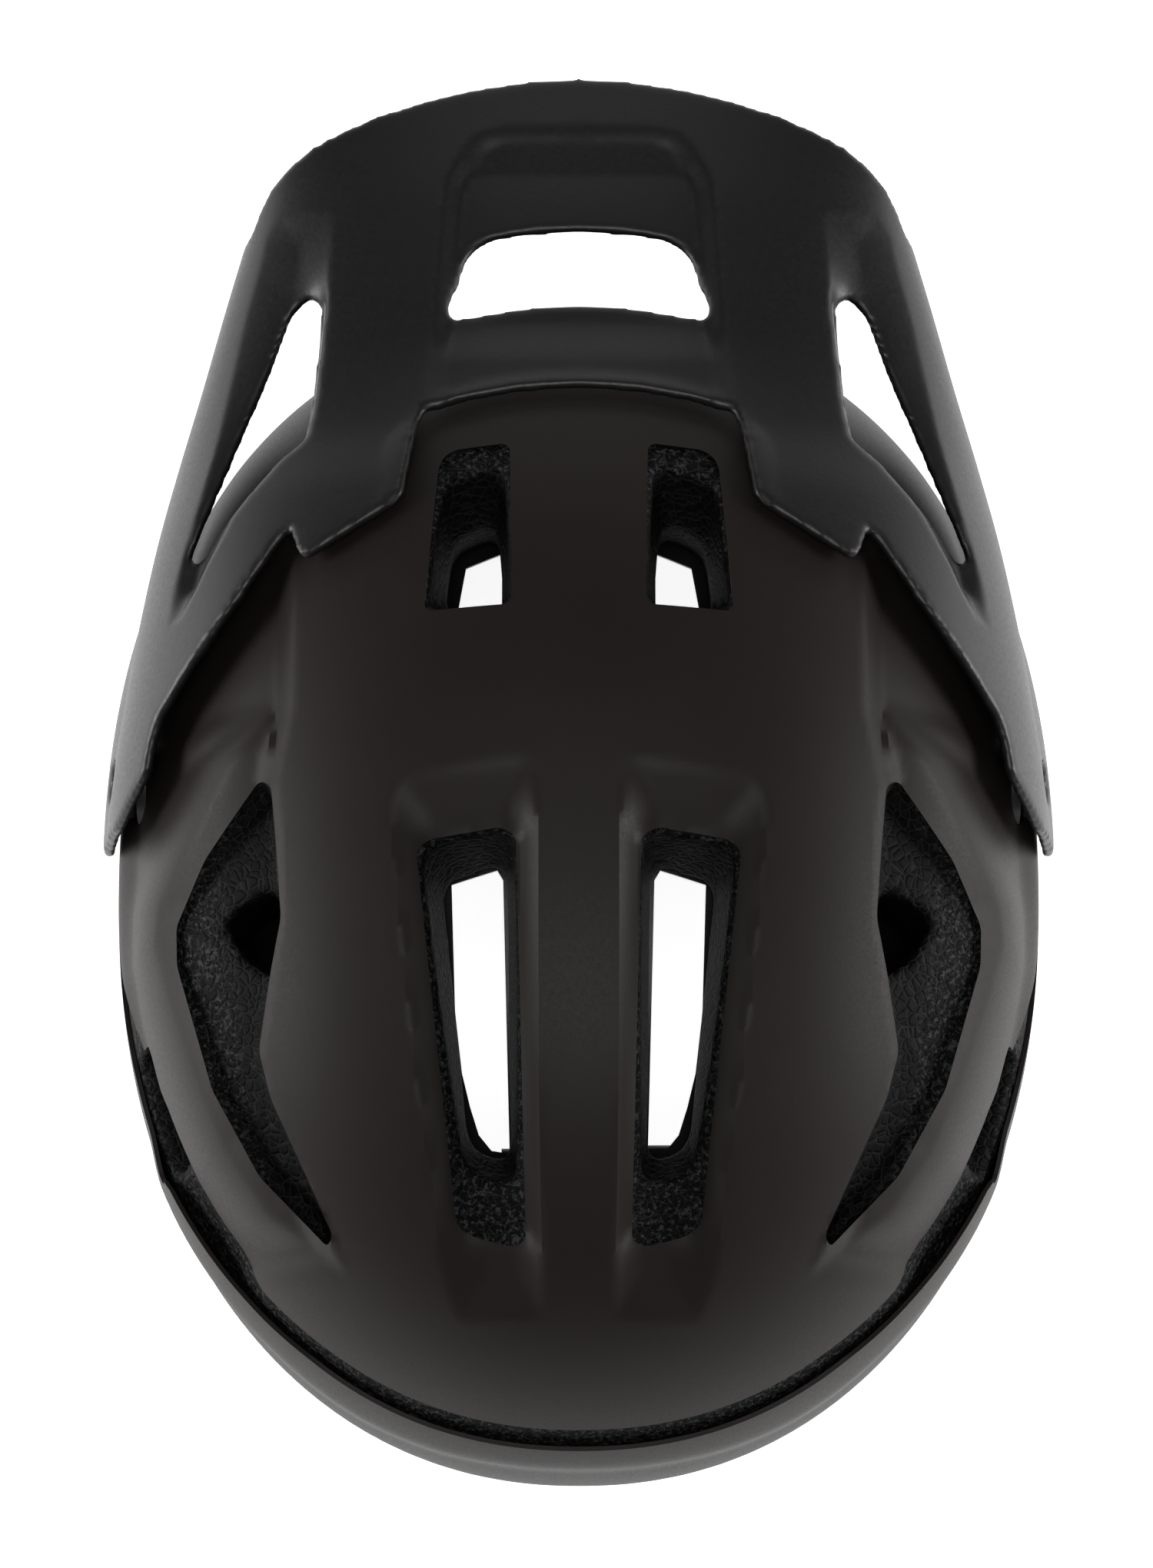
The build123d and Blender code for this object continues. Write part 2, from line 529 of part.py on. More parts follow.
def all_parts():
    """Every node of the helmet by name."""
    webs = straps()
    left_socket, left_pin = pivot_socket(), pivot_pin()
    parts = {"foam_liner": foam_liner(), "upper_shell": upper_shell(), "lower_shell": lower_shell(),
             "pivot_socket_left": left_socket, "pivot_socket_right": on_right(left_socket),
             "visor": visor(), "pivot_pin_left": left_pin, "pivot_pin_right": on_right(left_pin),
             "liner_plugs": Compound(children=plugs()), "slip_liner": slip_liner(),
             "cradle_guide": cradle_guide(), "cradle_yoke": cradle_yoke(),
             "cradle_housing_front": cradle_housing_front(),
             "cradle_housing_back": cradle_housing_back(),
             "occipital_pad_left": occipital_pad(), "occipital_pad_right": on_right(occipital_pad()),
             "cradle_arm_left": arm(1), "cradle_arm_right": arm(-1),
             "dial_gear": dial_gear(), "dial_knob": dial_knob(),
             "strap_divider_left": divider(), "strap_divider_right": on_right(divider()),
             "strap_keeper": strap_keeper(), "buckle_socket": buckle_socket(),
             "buckle_tongue": buckle_tongue()}
    parts.update(pads())
    parts.update(webs)
    parts.update(anchors_with_slots(webs))
    parts.update(buckle_magnets())
    return parts


os.makedirs("parts", exist_ok=True)
for node, shape in all_parts().items():
    export_step(shape, f"parts/{node}.step")
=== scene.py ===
"""Looks of a matte black trail bicycle helmet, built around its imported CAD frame.

All modelling is done in millimetres and settled into metres at the end of each piece.
+Z is up, the wearer looks along -Y, and the wearer's left is +X.
"""

import json
import logging
import math
from dataclasses import dataclass, field
from enum import Enum
from typing import Callable, Sequence

import bmesh
import bpy
import numpy as np
from mathutils import Matrix, Quaternion, Vector


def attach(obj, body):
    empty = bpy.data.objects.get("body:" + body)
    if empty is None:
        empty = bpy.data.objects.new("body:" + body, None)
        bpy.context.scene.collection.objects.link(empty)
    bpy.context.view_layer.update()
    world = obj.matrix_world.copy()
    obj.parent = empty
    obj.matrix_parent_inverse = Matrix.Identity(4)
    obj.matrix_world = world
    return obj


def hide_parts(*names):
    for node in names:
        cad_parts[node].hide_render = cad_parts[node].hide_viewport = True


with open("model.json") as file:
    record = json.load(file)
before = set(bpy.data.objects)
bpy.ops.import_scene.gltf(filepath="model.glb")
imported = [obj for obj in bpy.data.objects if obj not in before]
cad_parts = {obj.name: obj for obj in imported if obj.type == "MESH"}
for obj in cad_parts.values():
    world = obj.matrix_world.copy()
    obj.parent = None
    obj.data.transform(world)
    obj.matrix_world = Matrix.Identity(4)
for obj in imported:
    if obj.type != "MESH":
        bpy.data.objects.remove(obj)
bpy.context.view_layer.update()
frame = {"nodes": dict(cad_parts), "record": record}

MM = 0.001
LOG = logging.getLogger("helmet")

Outline = Sequence[tuple[float, float]]


# ---------------------------------------------------------------- small tools


def linear(hex_code: str) -> tuple[float, float, float, float]:
    """Turns an sRGB hex colour to linear.

    Args:
        hex_code: Six hex digits.

    Returns:
        Linear red, green, blue and an alpha of 1.
    """
    channels = [int(hex_code[i:i + 2], 16) / 255 for i in (0, 2, 4)]
    made = [c / 12.92 if c <= 0.04045 else ((c + 0.055) / 1.055) ** 2.4 for c in channels]
    return (*made, 1.0)


def ease(share: np.ndarray) -> np.ndarray:
    """Smooth step from 0 to 1 over a share from 0 to 1."""
    t = np.clip(share, 0.0, 1.0)
    return t * t * (3 - 2 * t)


def line_gap(x: np.ndarray, y: np.ndarray, line: Outline) -> np.ndarray:
    """Distance of each point from an open line.

    Args:
        x: Points' first coordinate.
        y: Points' second coordinate.
        line: The line's corners.

    Returns:
        The distance to the nearest place on the line.
    """
    best = np.full(x.shape, 1e9)
    for (x0, y0), (x1, y1) in zip(line, line[1:]):
        dx, dy = x1 - x0, y1 - y0
        t = np.clip(((x - x0) * dx + (y - y0) * dy) / (dx * dx + dy * dy), 0, 1)
        best = np.minimum(best, np.hypot(x - x0 - t * dx, y - y0 - t * dy))
    return best


def depth_in(x: np.ndarray, y: np.ndarray, outline: Outline) -> np.ndarray:
    """Distance inside a closed outline, negative outside it.

    Args:
        x: Points' first coordinate.
        y: Points' second coordinate.
        outline: The outline's corners.

    Returns:
        Signed distance to the outline, positive inside.
    """
    inside = np.zeros(x.shape, bool)
    for (x0, y0), (x1, y1) in zip(outline, [*outline[1:], outline[0]]):
        if y0 == y1:
            continue
        crosses = (y0 > y) != (y1 > y)
        inside ^= crosses & (x < (x1 - x0) * (y - y0) / (y1 - y0) + x0)
    gap = line_gap(x, y, [*outline, outline[0]])
    return np.where(inside, gap, -gap)


def mirrored(outline: Outline) -> list[tuple[float, float]]:
    """An outline's mirror image in the plane of symmetry."""
    return [(-x, y) for x, y in reversed(outline)]


def whole(half: Outline) -> list[tuple[float, float]]:
    """A closed outline from its left half, which starts and ends on the plane of symmetry."""
    return [*half, *[(-x, y) for x, y in reversed(half) if x > 0]]


def as_object(bm: bmesh.types.BMesh, name: str) -> bpy.types.Object:
    """Puts a bmesh into a new object.

    Args:
        bm: The mesh, which is freed.
        name: The object's name.

    Returns:
        The new object, linked to the scene.
    """
    mesh = bpy.data.meshes.new(name)
    bm.to_mesh(mesh)
    bm.free()
    made = bpy.data.objects.new(name, mesh)
    bpy.context.scene.collection.objects.link(made)
    return made


def bake_modifiers(piece: bpy.types.Object) -> bpy.types.Object:
    """Applies a piece's modifiers to its mesh."""
    bpy.context.view_layer.update()
    depsgraph = bpy.context.evaluated_depsgraph_get()
    mesh = bpy.data.meshes.new_from_object(piece.evaluated_get(depsgraph))
    piece.modifiers.clear()
    old, piece.data = piece.data, mesh
    bpy.data.meshes.remove(old)
    return piece


class Cut(Enum):
    """What a tool does to the body that it meets."""

    AWAY = "DIFFERENCE"
    JOIN = "UNION"


def carve(body: bpy.types.Object, tools: Sequence[bpy.types.Object],
          mode: Cut = Cut.AWAY) -> bpy.types.Object:
    """Cuts, joins or trims a body with closed tools, which are used up.

    Args:
        body: The piece that is cut.
        tools: The closed meshes that cut it.
        mode: Whether the tools cut away or are joined on.

    Returns:
        The body.
    """
    for tool in tools:
        cut = body.modifiers.new("cut", "BOOLEAN")
        cut.operation, cut.solver, cut.object = mode.value, "MANIFOLD", tool
        trial = bpy.data.meshes.new_from_object(
            body.evaluated_get(bpy.context.evaluated_depsgraph_get()))
        if len(trial.vertices) < 8:
            LOG.warning("%s: fell back to the exact cut for %s", body.name, tool.name)
            cut.solver = "EXACT"
        bpy.data.meshes.remove(trial)
        bake_modifiers(body)
        bpy.data.objects.remove(tool)
    return body


def prism(outline: Outline, low: float, high: float, corner: float = 0.0,
          name: str = "prism") -> bpy.types.Object:
    """A closed prism on a plan outline, with rounded upright edges.

    Args:
        outline: The outline's corners in millimetres.
        low: Height of its foot.
        high: Height of its top.
        corner: Radius of its upright edges.
        name: The object's name.

    Returns:
        The prism as an object.
    """
    return tapered(outline, outline, low, high, corner, name)


def tapered(lower: Outline, upper: Outline, low: float, high: float, corner: float = 0.0,
            name: str = "funnel", tail: float = 0.0) -> bpy.types.Object:
    """A closed block that runs from one outline to another.

    Args:
        lower: Outline at its foot.
        upper: Outline at its top, with as many corners.
        low: Height of its foot.
        high: Height of its top.
        corner: Radius of its upright edges.
        name: The object's name.
        tail: How far it runs straight on past both ends.

    Returns:
        The block as an object.
    """
    bm = bmesh.new()
    rings = [(lower, low), (upper, high)]
    if tail:
        rings = [(lower, low - tail), *rings, (upper, high + tail)]
    loop = [bm.verts.new((x, y, rings[0][1])) for x, y in rings[0][0]]
    edges = [bm.edges.new(pair) for pair in zip(loop, [*loop[1:], loop[0]])]
    caps = list(edges)
    for ring, z in rings[1:]:
        grown = bmesh.ops.extrude_edge_only(bm, edges=edges)["geom"]
        fresh = {g for g in grown if isinstance(g, bmesh.types.BMVert)}
        edges = [g for g in grown if isinstance(g, bmesh.types.BMEdge)
                 and g.verts[0] in fresh and g.verts[1] in fresh]
        loop = [next(e.other_vert(v) for e in v.link_edges if e.other_vert(v) in fresh) for v in loop]
        for vert, (x, y) in zip(loop, ring):
            vert.co = (x, y, z)
    bmesh.ops.holes_fill(bm, edges=[*caps, *edges], sides=0)
    if corner:
        flat = [e for e in bm.edges if abs(e.verts[0].co.z - e.verts[1].co.z) > 1e-4]
        bmesh.ops.bevel(bm, geom=flat, offset=corner, segments=5, profile=0.5, material=-1,
                        affect="EDGES", clamp_overlap=True)
    bmesh.ops.recalc_face_normals(bm, faces=bm.faces)
    return as_object(bm, name)


def cross_prism(line: Outline, end_z: float, name: str = "profile") -> bpy.types.Object:
    """Everything between a (y, z) line and a level, right across the helmet.

    Args:
        line: Corners as (y, z).
        end_z: The level.
        name: The object's name.

    Returns:
        The block as an object.
    """
    outline = [*line, (line[-1][0], end_z), (line[0][0], end_z)]
    bm = bmesh.new()
    face = bm.faces.new([bm.verts.new((-170, y, z)) for y, z in outline])
    grown = bmesh.ops.extrude_face_region(bm, geom=[face], use_keep_orig=True)
    fresh = [g for g in grown["geom"] if isinstance(g, bmesh.types.BMVert)]
    bmesh.ops.translate(bm, verts=fresh, vec=(340, 0, 0))
    bmesh.ops.recalc_face_normals(bm, faces=bm.faces)
    return as_object(bm, name)


def drum(radius: float, start: Vector, end: Vector, segments: int = 48, round_off: float = 0.0,
         name: str = "drum") -> bpy.types.Object:
    """A closed cylinder between two points.

    Args:
        radius: Its radius.
        start: Centre of one end.
        end: Centre of the other end.
        segments: Faces round it.
        round_off: Radius of its end edges.
        name: The object's name.

    Returns:
        The cylinder as an object.
    """
    bm = bmesh.new()
    along = end - start
    bmesh.ops.create_cone(bm, cap_ends=True, segments=segments, radius1=radius, radius2=radius,
                          depth=along.length)
    if round_off:
        rims = [e for e in bm.edges if abs(e.verts[0].co.z - e.verts[1].co.z) < 1e-4]
        bmesh.ops.bevel(bm, geom=rims, offset=round_off, segments=3, profile=0.5, material=-1,
                        affect="EDGES")
    turn = along.to_track_quat("Z", "Y").to_matrix().to_4x4()
    bmesh.ops.transform(bm, matrix=Matrix.Translation((start + end) / 2) @ turn, verts=bm.verts)
    return as_object(bm, name)


def block(low: Vector, high: Vector, turn: float = 0.0, round_off: float = 0.0,
          name: str = "block") -> bpy.types.Object:
    """A box between two corners, turned about its own upright axis.

    Args:
        low: Lowest corner before it is turned.
        high: Highest corner before it is turned.
        turn: Turn in degrees.
        round_off: Radius of all its edges.
        name: The object's name.

    Returns:
        The box as an object.
    """
    bm = bmesh.new()
    bmesh.ops.create_cube(bm, size=1.0)
    bmesh.ops.scale(bm, vec=high - low, verts=bm.verts)
    if round_off:
        bmesh.ops.bevel(bm, geom=bm.edges, offset=round_off, segments=4, profile=0.5,
                        material=-1, affect="EDGES")
    spin = Matrix.Rotation(math.radians(turn), 4, "Z")
    bmesh.ops.transform(bm, matrix=Matrix.Translation((low + high) / 2) @ spin, verts=bm.verts)
    return as_object(bm, name)


def settle(piece: bpy.types.Object, name: str, body: str, slot: str, finish: bpy.types.Material,
           *nodes: str, smooth_angle: float = 35.0) -> bpy.types.Object:
    """Brings a finished piece from millimetres to its place in the frame.

    Args:
        piece: The piece in millimetres.
        name: Its final name.
        body: The CAD body that it rides on.
        slot: The record's material slot; not used.
        finish: The material.
        nodes: The CAD nodes that it stands for.
        smooth_angle: Edges sharper than this many degrees stay sharp.

    Returns:
        The piece.
    """
    piece.data.transform(Matrix.Scale(MM, 4))
    piece.data.materials.clear()
    piece.data.materials.append(finish)
    piece.data.polygons.foreach_set("material_index", np.zeros(len(piece.data.polygons), np.int32))
    piece.name = piece.data.name = name
    piece.data.shade_smooth()
    piece.data.set_sharp_from_angle(angle=math.radians(smooth_angle))
    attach(piece, body)
    if nodes:
        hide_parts(*nodes)
    LOG.info("%s: %d faces", name, len(piece.data.polygons))
    return piece


# ---------------------------------------------------------------- finishes


def add(tree: bpy.types.NodeTree, kind: str, settings: dict | None = None,
        links: dict | None = None) -> bpy.types.Node:
    """Adds a node with its settings and links.

    Args:
        tree: The material's node tree.
        kind: The node's type.
        settings: Attributes, or inputs where the key is an input's name or number.
        links: Output sockets by the name or number of the input they go to.

    Returns:
        The node.
    """
    node = tree.nodes.new(kind)
    for key, value in (settings or {}).items():
        if isinstance(key, int) or key in node.inputs:
            node.inputs[key].default_value = value
        else:
            setattr(node, key, value)
    for key, source in (links or {}).items():
        tree.links.new(source, node.inputs[key])
    return node


def ramp(tree: bpy.types.NodeTree, source: bpy.types.NodeSocket,
         stops: Sequence[tuple[float, tuple]]) -> bpy.types.Node:
    """A colour ramp with the given stops.

    Args:
        tree: The material's node tree.
        source: What drives it.
        stops: Positions and linear colours.

    Returns:
        The ramp node.
    """
    node = add(tree, "ShaderNodeValToRGB", links={0: source})
    while len(node.color_ramp.elements) < len(stops):
        node.color_ramp.elements.new(0.5)
    for element, (place, colour) in zip(node.color_ramp.elements, stops):
        element.position, element.color = place, colour
    return node


@dataclass(frozen=True)
class Finish:
    """A material: what it is made of and how its surface looks."""

    name: str
    colour: str
    roughness: float
    gloss: float = field(default=0.4, kw_only=True)

    def start(self) -> tuple[bpy.types.Material, bpy.types.NodeTree, bpy.types.Node]:
        """A material with its shader and nothing linked to it."""
        material = bpy.data.materials.new(self.name)
        material.use_nodes = True
        tree = material.node_tree
        shader = tree.nodes["Principled BSDF"]
        shader.inputs["Base Color"].default_value = linear(self.colour)
        shader.inputs["Roughness"].default_value = self.roughness
        shader.inputs["Specular IOR Level"].default_value = self.gloss
        return material, tree, shader

    def make(self) -> bpy.types.Material:
        """Builds the material."""
        material, tree, shader = self.start()
        self.dress(tree, shader)
        return material

    def dress(self, tree: bpy.types.NodeTree, shader: bpy.types.Node) -> None:
        """Adds what the surface shows beyond one colour."""


@dataclass(frozen=True)
class MouldedPlastic(Finish):
    """Injection-moulded or vacuum-formed plastic with a fine, even grain."""

    grain_mm: float = 0.35
    grain_depth: float = 0.05
    cloud: str = "3a3633"
    cloud_mm: float = 60.0

    def dress(self, tree: bpy.types.NodeTree, shader: bpy.types.Node) -> None:
        """Grain as bump, a soft cloud in the colour and slow change in gloss."""
        where = add(tree, "ShaderNodeTexCoord").outputs["Object"]
        grain = add(tree, "ShaderNodeTexNoise", {"Scale": 1 / (self.grain_mm * MM * 2),
                    "Detail": 3.0, "Roughness": 0.6}, {"Vector": where})
        cloud = add(tree, "ShaderNodeTexNoise", {"Scale": 1 / (self.cloud_mm * MM),
                    "Detail": 4.0, "Roughness": 0.55}, {"Vector": where})
        mixed = ramp(tree, cloud.outputs["Fac"],
                     [(0.35, linear(self.colour)), (0.75, linear(self.cloud))])
        tree.links.new(mixed.outputs["Color"], shader.inputs["Base Color"])
        gloss = add(tree, "ShaderNodeMapRange", {"From Min": 0.3, "From Max": 0.7,
                    "To Min": self.roughness - 0.04, "To Max": self.roughness + 0.05},
                    {"Value": grain.outputs["Fac"]})
        tree.links.new(gloss.outputs["Result"], shader.inputs["Roughness"])
        bump = add(tree, "ShaderNodeBump", {"Strength": 0.35, "Distance": self.grain_depth * MM},
                   {"Height": grain.outputs["Fac"]})
        tree.links.new(bump.outputs["Normal"], shader.inputs["Normal"])


@dataclass(frozen=True)
class BeadFoam(Finish):
    """Expanded polystyrene: pressed beads with thin paler skins between them."""

    bead_mm: float = 2.3
    skin: str = "1e1f21"
    torn: str = "363738"

    def dress(self, tree: bpy.types.NodeTree, shader: bpy.types.Node) -> None:
        """Voronoi cells as beads, with paler borders and a torn, speckled rim."""
        where = add(tree, "ShaderNodeTexCoord").outputs["Object"]
        wobble = add(tree, "ShaderNodeTexNoise", {"Scale": 1 / (5 * MM), "Detail": 2.0},
                     {"Vector": where})
        push = add(tree, "ShaderNodeVectorMath", {"operation": "MULTIPLY_ADD",
                   1: (1.1 * MM,) * 3}, {0: wobble.outputs["Color"], 2: where})
        cells = {"Scale": 1 / (self.bead_mm * MM)}
        edge = add(tree, "ShaderNodeTexVoronoi", {**cells, "feature": "DISTANCE_TO_EDGE"},
                   {"Vector": push.outputs["Vector"]})
        bead = add(tree, "ShaderNodeTexVoronoi", cells, {"Vector": push.outputs["Vector"]})
        border = ramp(tree, edge.outputs["Distance"],
                      [(0.0, linear(self.skin)), (0.06, linear(self.colour)),
                       (0.5, linear(self.colour))])
        tone = add(tree, "ShaderNodeMapRange", {"From Min": 0.0, "From Max": 1.0, "To Min": 0.55,
                   "To Max": 1.5}, {"Value": bead.outputs["Color"]})
        toned = add(tree, "ShaderNodeMix", {"data_type": "RGBA", "blend_type": "MULTIPLY",
                    "Factor": 1.0}, {6: border.outputs["Color"], 7: tone.outputs["Result"]})
        speck = add(tree, "ShaderNodeTexNoise", {"Scale": 1 / (1.1 * MM), "Detail": 3.0,
                    "Roughness": 0.7}, {"Vector": where})
        rim = add(tree, "ShaderNodeAttribute", {"attribute_name": "torn_rim"})
        flecks = add(tree, "ShaderNodeMapRange", {"From Min": 0.52, "From Max": 0.62},
                     {"Value": speck.outputs["Fac"]})
        amount = add(tree, "ShaderNodeMath", {"operation": "MULTIPLY"},
                     {0: rim.outputs["Fac"], 1: flecks.outputs["Result"]})
        final = add(tree, "ShaderNodeMix", {"data_type": "RGBA", 7: linear(self.torn)},
                    {"Factor": amount.outputs["Value"], 6: toned.outputs[2]})
        tree.links.new(final.outputs[2], shader.inputs["Base Color"])
        height = add(tree, "ShaderNodeMapRange", {"From Min": 0.0, "From Max": 0.22},
                     {"Value": edge.outputs["Distance"]})
        rough = add(tree, "ShaderNodeMath", {"operation": "MULTIPLY_ADD", 1: 0.25},
                    {0: speck.outputs["Fac"], 2: height.outputs["Result"]})
        bump = add(tree, "ShaderNodeBump", {"Strength": 0.8, "Distance": 0.35 * MM},
                   {"Height": rough.outputs["Value"]})
        tree.links.new(bump.outputs["Normal"], shader.inputs["Normal"])


@dataclass(frozen=True)
class Woven(Finish):
    """Woven or knitted cloth; the pattern follows the piece's own UV map or its place."""

    thread_mm: float = 0.9
    second: str = "202022"
    follows_uv: bool = False

    def dress(self, tree: bpy.types.NodeTree, shader: bpy.types.Node) -> None:
        """Two crossed sets of threads as colour and bump, with a soft sheen."""
        source = add(tree, "ShaderNodeTexCoord")
        where = source.outputs["UV" if self.follows_uv else "Object"]
        scale = (1.0 if self.follows_uv else 1 / MM) / self.thread_mm
        waves = []
        for direction in ("X", "Y"):
            waves.append(add(tree, "ShaderNodeTexWave", {"Scale": scale / 3.2,
                         "bands_direction": direction, "Distortion": 0.6, "Detail": 1.0},
                         {"Vector": where}))
        weave = add(tree, "ShaderNodeMath", {"operation": "MULTIPLY"},
                    {0: waves[0].outputs["Fac"], 1: waves[1].outputs["Fac"]})
        mixed = ramp(tree, weave.outputs["Value"],
                     [(0.05, linear(self.colour)), (0.7, linear(self.second))])
        tree.links.new(mixed.outputs["Color"], shader.inputs["Base Color"])
        bump = add(tree, "ShaderNodeBump", {"Strength": 0.6, "Distance": 0.2 * MM},
                   {"Height": weave.outputs["Value"]})
        tree.links.new(bump.outputs["Normal"], shader.inputs["Normal"])
        shader.inputs["Sheen Weight"].default_value = 0.25


class Finishes:
    """Every material of the helmet, made once."""

    def __init__(self) -> None:
        """Builds the materials."""
        # Polycarbonate film under matte lacquer: a warm black with broad, soft highlights.
        self.shell = MouldedPlastic("matte lacquered polycarbonate", "1a1614", 0.49, cloud="1e1a18",
                                    gloss=0.15).make()
        # Glass-filled nylon with a spark-eroded grain: a neutral, slightly glossier black.
        self.visor = MouldedPlastic("grained nylon peak", "0b0b0b", 0.42, grain_mm=0.5,
                                    grain_depth=0.08, cloud="0e0e0e", gloss=0.4).make()
        # Black expanded polystyrene: beads with faint grey borders.
        self.foam = BeadFoam("black bead foam", "040405", 0.7, gloss=0.1).make()
        # Unfilled nylon: satin, with a faint warm cloud.
        self.nylon = MouldedPlastic("satin moulded nylon", "1d1d1e", 0.42, cloud="262627",
                                    cloud_mm=25).make()
        # Pressed polycarbonate sheet: almost no grain, so its highlights are tighter.
        self.slip = MouldedPlastic("smooth slip sheet", "161617", 0.3, grain_depth=0.01,
                                   cloud="1d1d1e").make()
        # Moulded rubber: dull, with a coarse grain.
        self.rubber = MouldedPlastic("moulded rubber", "1a1a1a", 0.62, grain_mm=0.6,
                                     cloud="222222", cloud_mm=15).make()
        # Cast elastomer: grey and soft-looking.
        self.elastomer = MouldedPlastic("grey elastomer", "3b3b3d", 0.55, cloud="444446",
                                        cloud_mm=10).make()
        # Polyester webbing: threads across and along, with a slight sheen.
        self.webbing = Woven("woven polyester webbing", "101011", 0.65, follows_uv=True).make()
        # Brushed knit over soft foam: dark grey, matte, threads about a millimetre apart.
        self.knit = Woven("knitted pad cover", "17181a", 0.8, second="2b2d30",
                          thread_mm=1.1).make()
        # Nickel plate: bright, finely brushed.
        self.nickel = self.plate()

    @staticmethod
    def plate() -> bpy.types.Material:
        """Nickel-plated steel with fine brushing."""
        material, tree, shader = Finish("nickel plate", "a8a6a0", 0.3).start()
        shader.inputs["Metallic"].default_value = 1.0
        where = add(tree, "ShaderNodeTexCoord").outputs["Object"]
        noise = add(tree, "ShaderNodeTexNoise", {"Scale": 1 / (0.4 * MM)}, {"Vector": where})
        bump = add(tree, "ShaderNodeBump", {"Strength": 0.2, "Distance": 0.02 * MM},
                   {"Height": noise.outputs["Fac"]})
        tree.links.new(bump.outputs["Normal"], shader.inputs["Normal"])
        return material


# ---------------------------------------------------------------- forms shared by the pieces


@dataclass(frozen=True)
class Ovoid:
    """Superellipsoid that is blunter in front, as half axes and the height of its girth."""

    half_x: float
    half_y: float
    girth: float
    rise: float
    drop: float
    front_power: float = 2.3
    rear_power: float = 2.15
    section_power: float = 2.3

    def gauge(self, at: np.ndarray) -> np.ndarray:
        """How far out each point lies, 1 on the surface.

        Args:
            at: Points from the ovoid's centre, one per row.

        Returns:
            The scale of the ovoid through each point.
        """
        power = np.where(at[:, 1] < 0, self.front_power, self.rear_power)
        tall = np.where(at[:, 2] > 0, self.rise, self.drop)
        plan = (np.abs(at[:, 0] / self.half_x) ** power
                + np.abs(at[:, 1] / self.half_y) ** power) ** (self.section_power / power)
        return (plan + np.abs(at[:, 2] / tall) ** self.section_power) ** (1 / self.section_power)

    def outward(self, at: np.ndarray) -> np.ndarray:
        """Unit normals at points from the centre."""
        step = 0.05
        slopes = []
        for axis in range(3):
            nudge = np.zeros(3)
            nudge[axis] = step
            slopes.append(self.gauge(at + nudge) - self.gauge(at - nudge))
        normal = np.stack(slopes, axis=1)
        return normal / np.linalg.norm(normal, axis=1, keepdims=True)

    def dome(self, cells: int, inset: float, relief: Callable | None = None,
             name: str = "dome", reach: float = 124.0) -> bpy.types.Object:
        """A closed dome over a square grid that is drawn round to a cap.

        Args:
            cells: Grid cells along each side.
            inset: How far it lies inside the ovoid.
            relief: Gives each point's height above the plain surface.
            name: The object's name.
            reach: Angle from the top to the dome's edge, in degrees.

        Returns:
            The dome as an object in millimetres.
        """
        bm = bmesh.new()
        bmesh.ops.create_grid(bm, x_segments=cells, y_segments=cells, size=1.0)
        grid = np.array([v.co for v in bm.verts])
        s, t = grid[:, 0], grid[:, 1]
        u, v = s * np.sqrt(1 - t * t / 2), t * np.sqrt(1 - s * s / 2)
        radius = np.hypot(u, v)
        safe = np.maximum(radius, 1e-9)
        polar = radius * math.radians(reach)
        aim = np.stack([np.sin(polar) * u / safe * self.half_x,
                        np.sin(polar) * v / safe * self.half_y,
                        np.cos(polar) * np.where(polar < math.pi / 2, self.rise, self.drop)], axis=1)
        at = aim / self.gauge(aim)[:, None]
        normal = self.outward(at)
        place = at + [0, 0, self.girth]
        height = (relief(place) if relief else 0.0) - inset
        place = place + normal * np.reshape(height * np.ones(len(place)), (-1, 1))
        for vert, co in zip(bm.verts, place):
            vert.co = co
        edge = [e for e in bm.edges if e.is_boundary]
        grown = bmesh.ops.extrude_edge_only(bm, edges=edge)
        fresh = [g for g in grown["geom"] if isinstance(g, bmesh.types.BMVert)]
        bmesh.ops.pointmerge(bm, verts=fresh, merge_co=(0, 0, -70))
        bmesh.ops.recalc_face_normals(bm, faces=bm.faces)
        return as_object(bm, name)


SKIN = Ovoid(106.0, 135.5, 45.0, 108.0, 95.0)
HEAD = Ovoid(82.0, 103.0, 38.0, 84.0, 90.0)


@dataclass(frozen=True)
class Vent:
    """A vent's mouth in plan, its window lower down, and the two heights."""

    mouth: Outline
    window: Outline
    top: float
    low: float
    corner: float = 2.4

    def hole(self) -> list[bpy.types.Object]:
        """Straight tools for the skin, left and right."""
        made = []
        for side in (self.mouth, mirrored(self.mouth)):
            made.append(prism(side, 70, 180, self.corner, "vent hole"))
        return made

    def funnels(self) -> list[bpy.types.Object]:
        """Tapered tools for the foam, left and right."""
        made = []
        for wide, narrow in ((self.mouth, self.window), (mirrored(self.mouth), mirrored(self.window))):
            made.append(tapered(narrow, wide, self.low, self.top, self.corner, "vent funnel", 40))
        return made


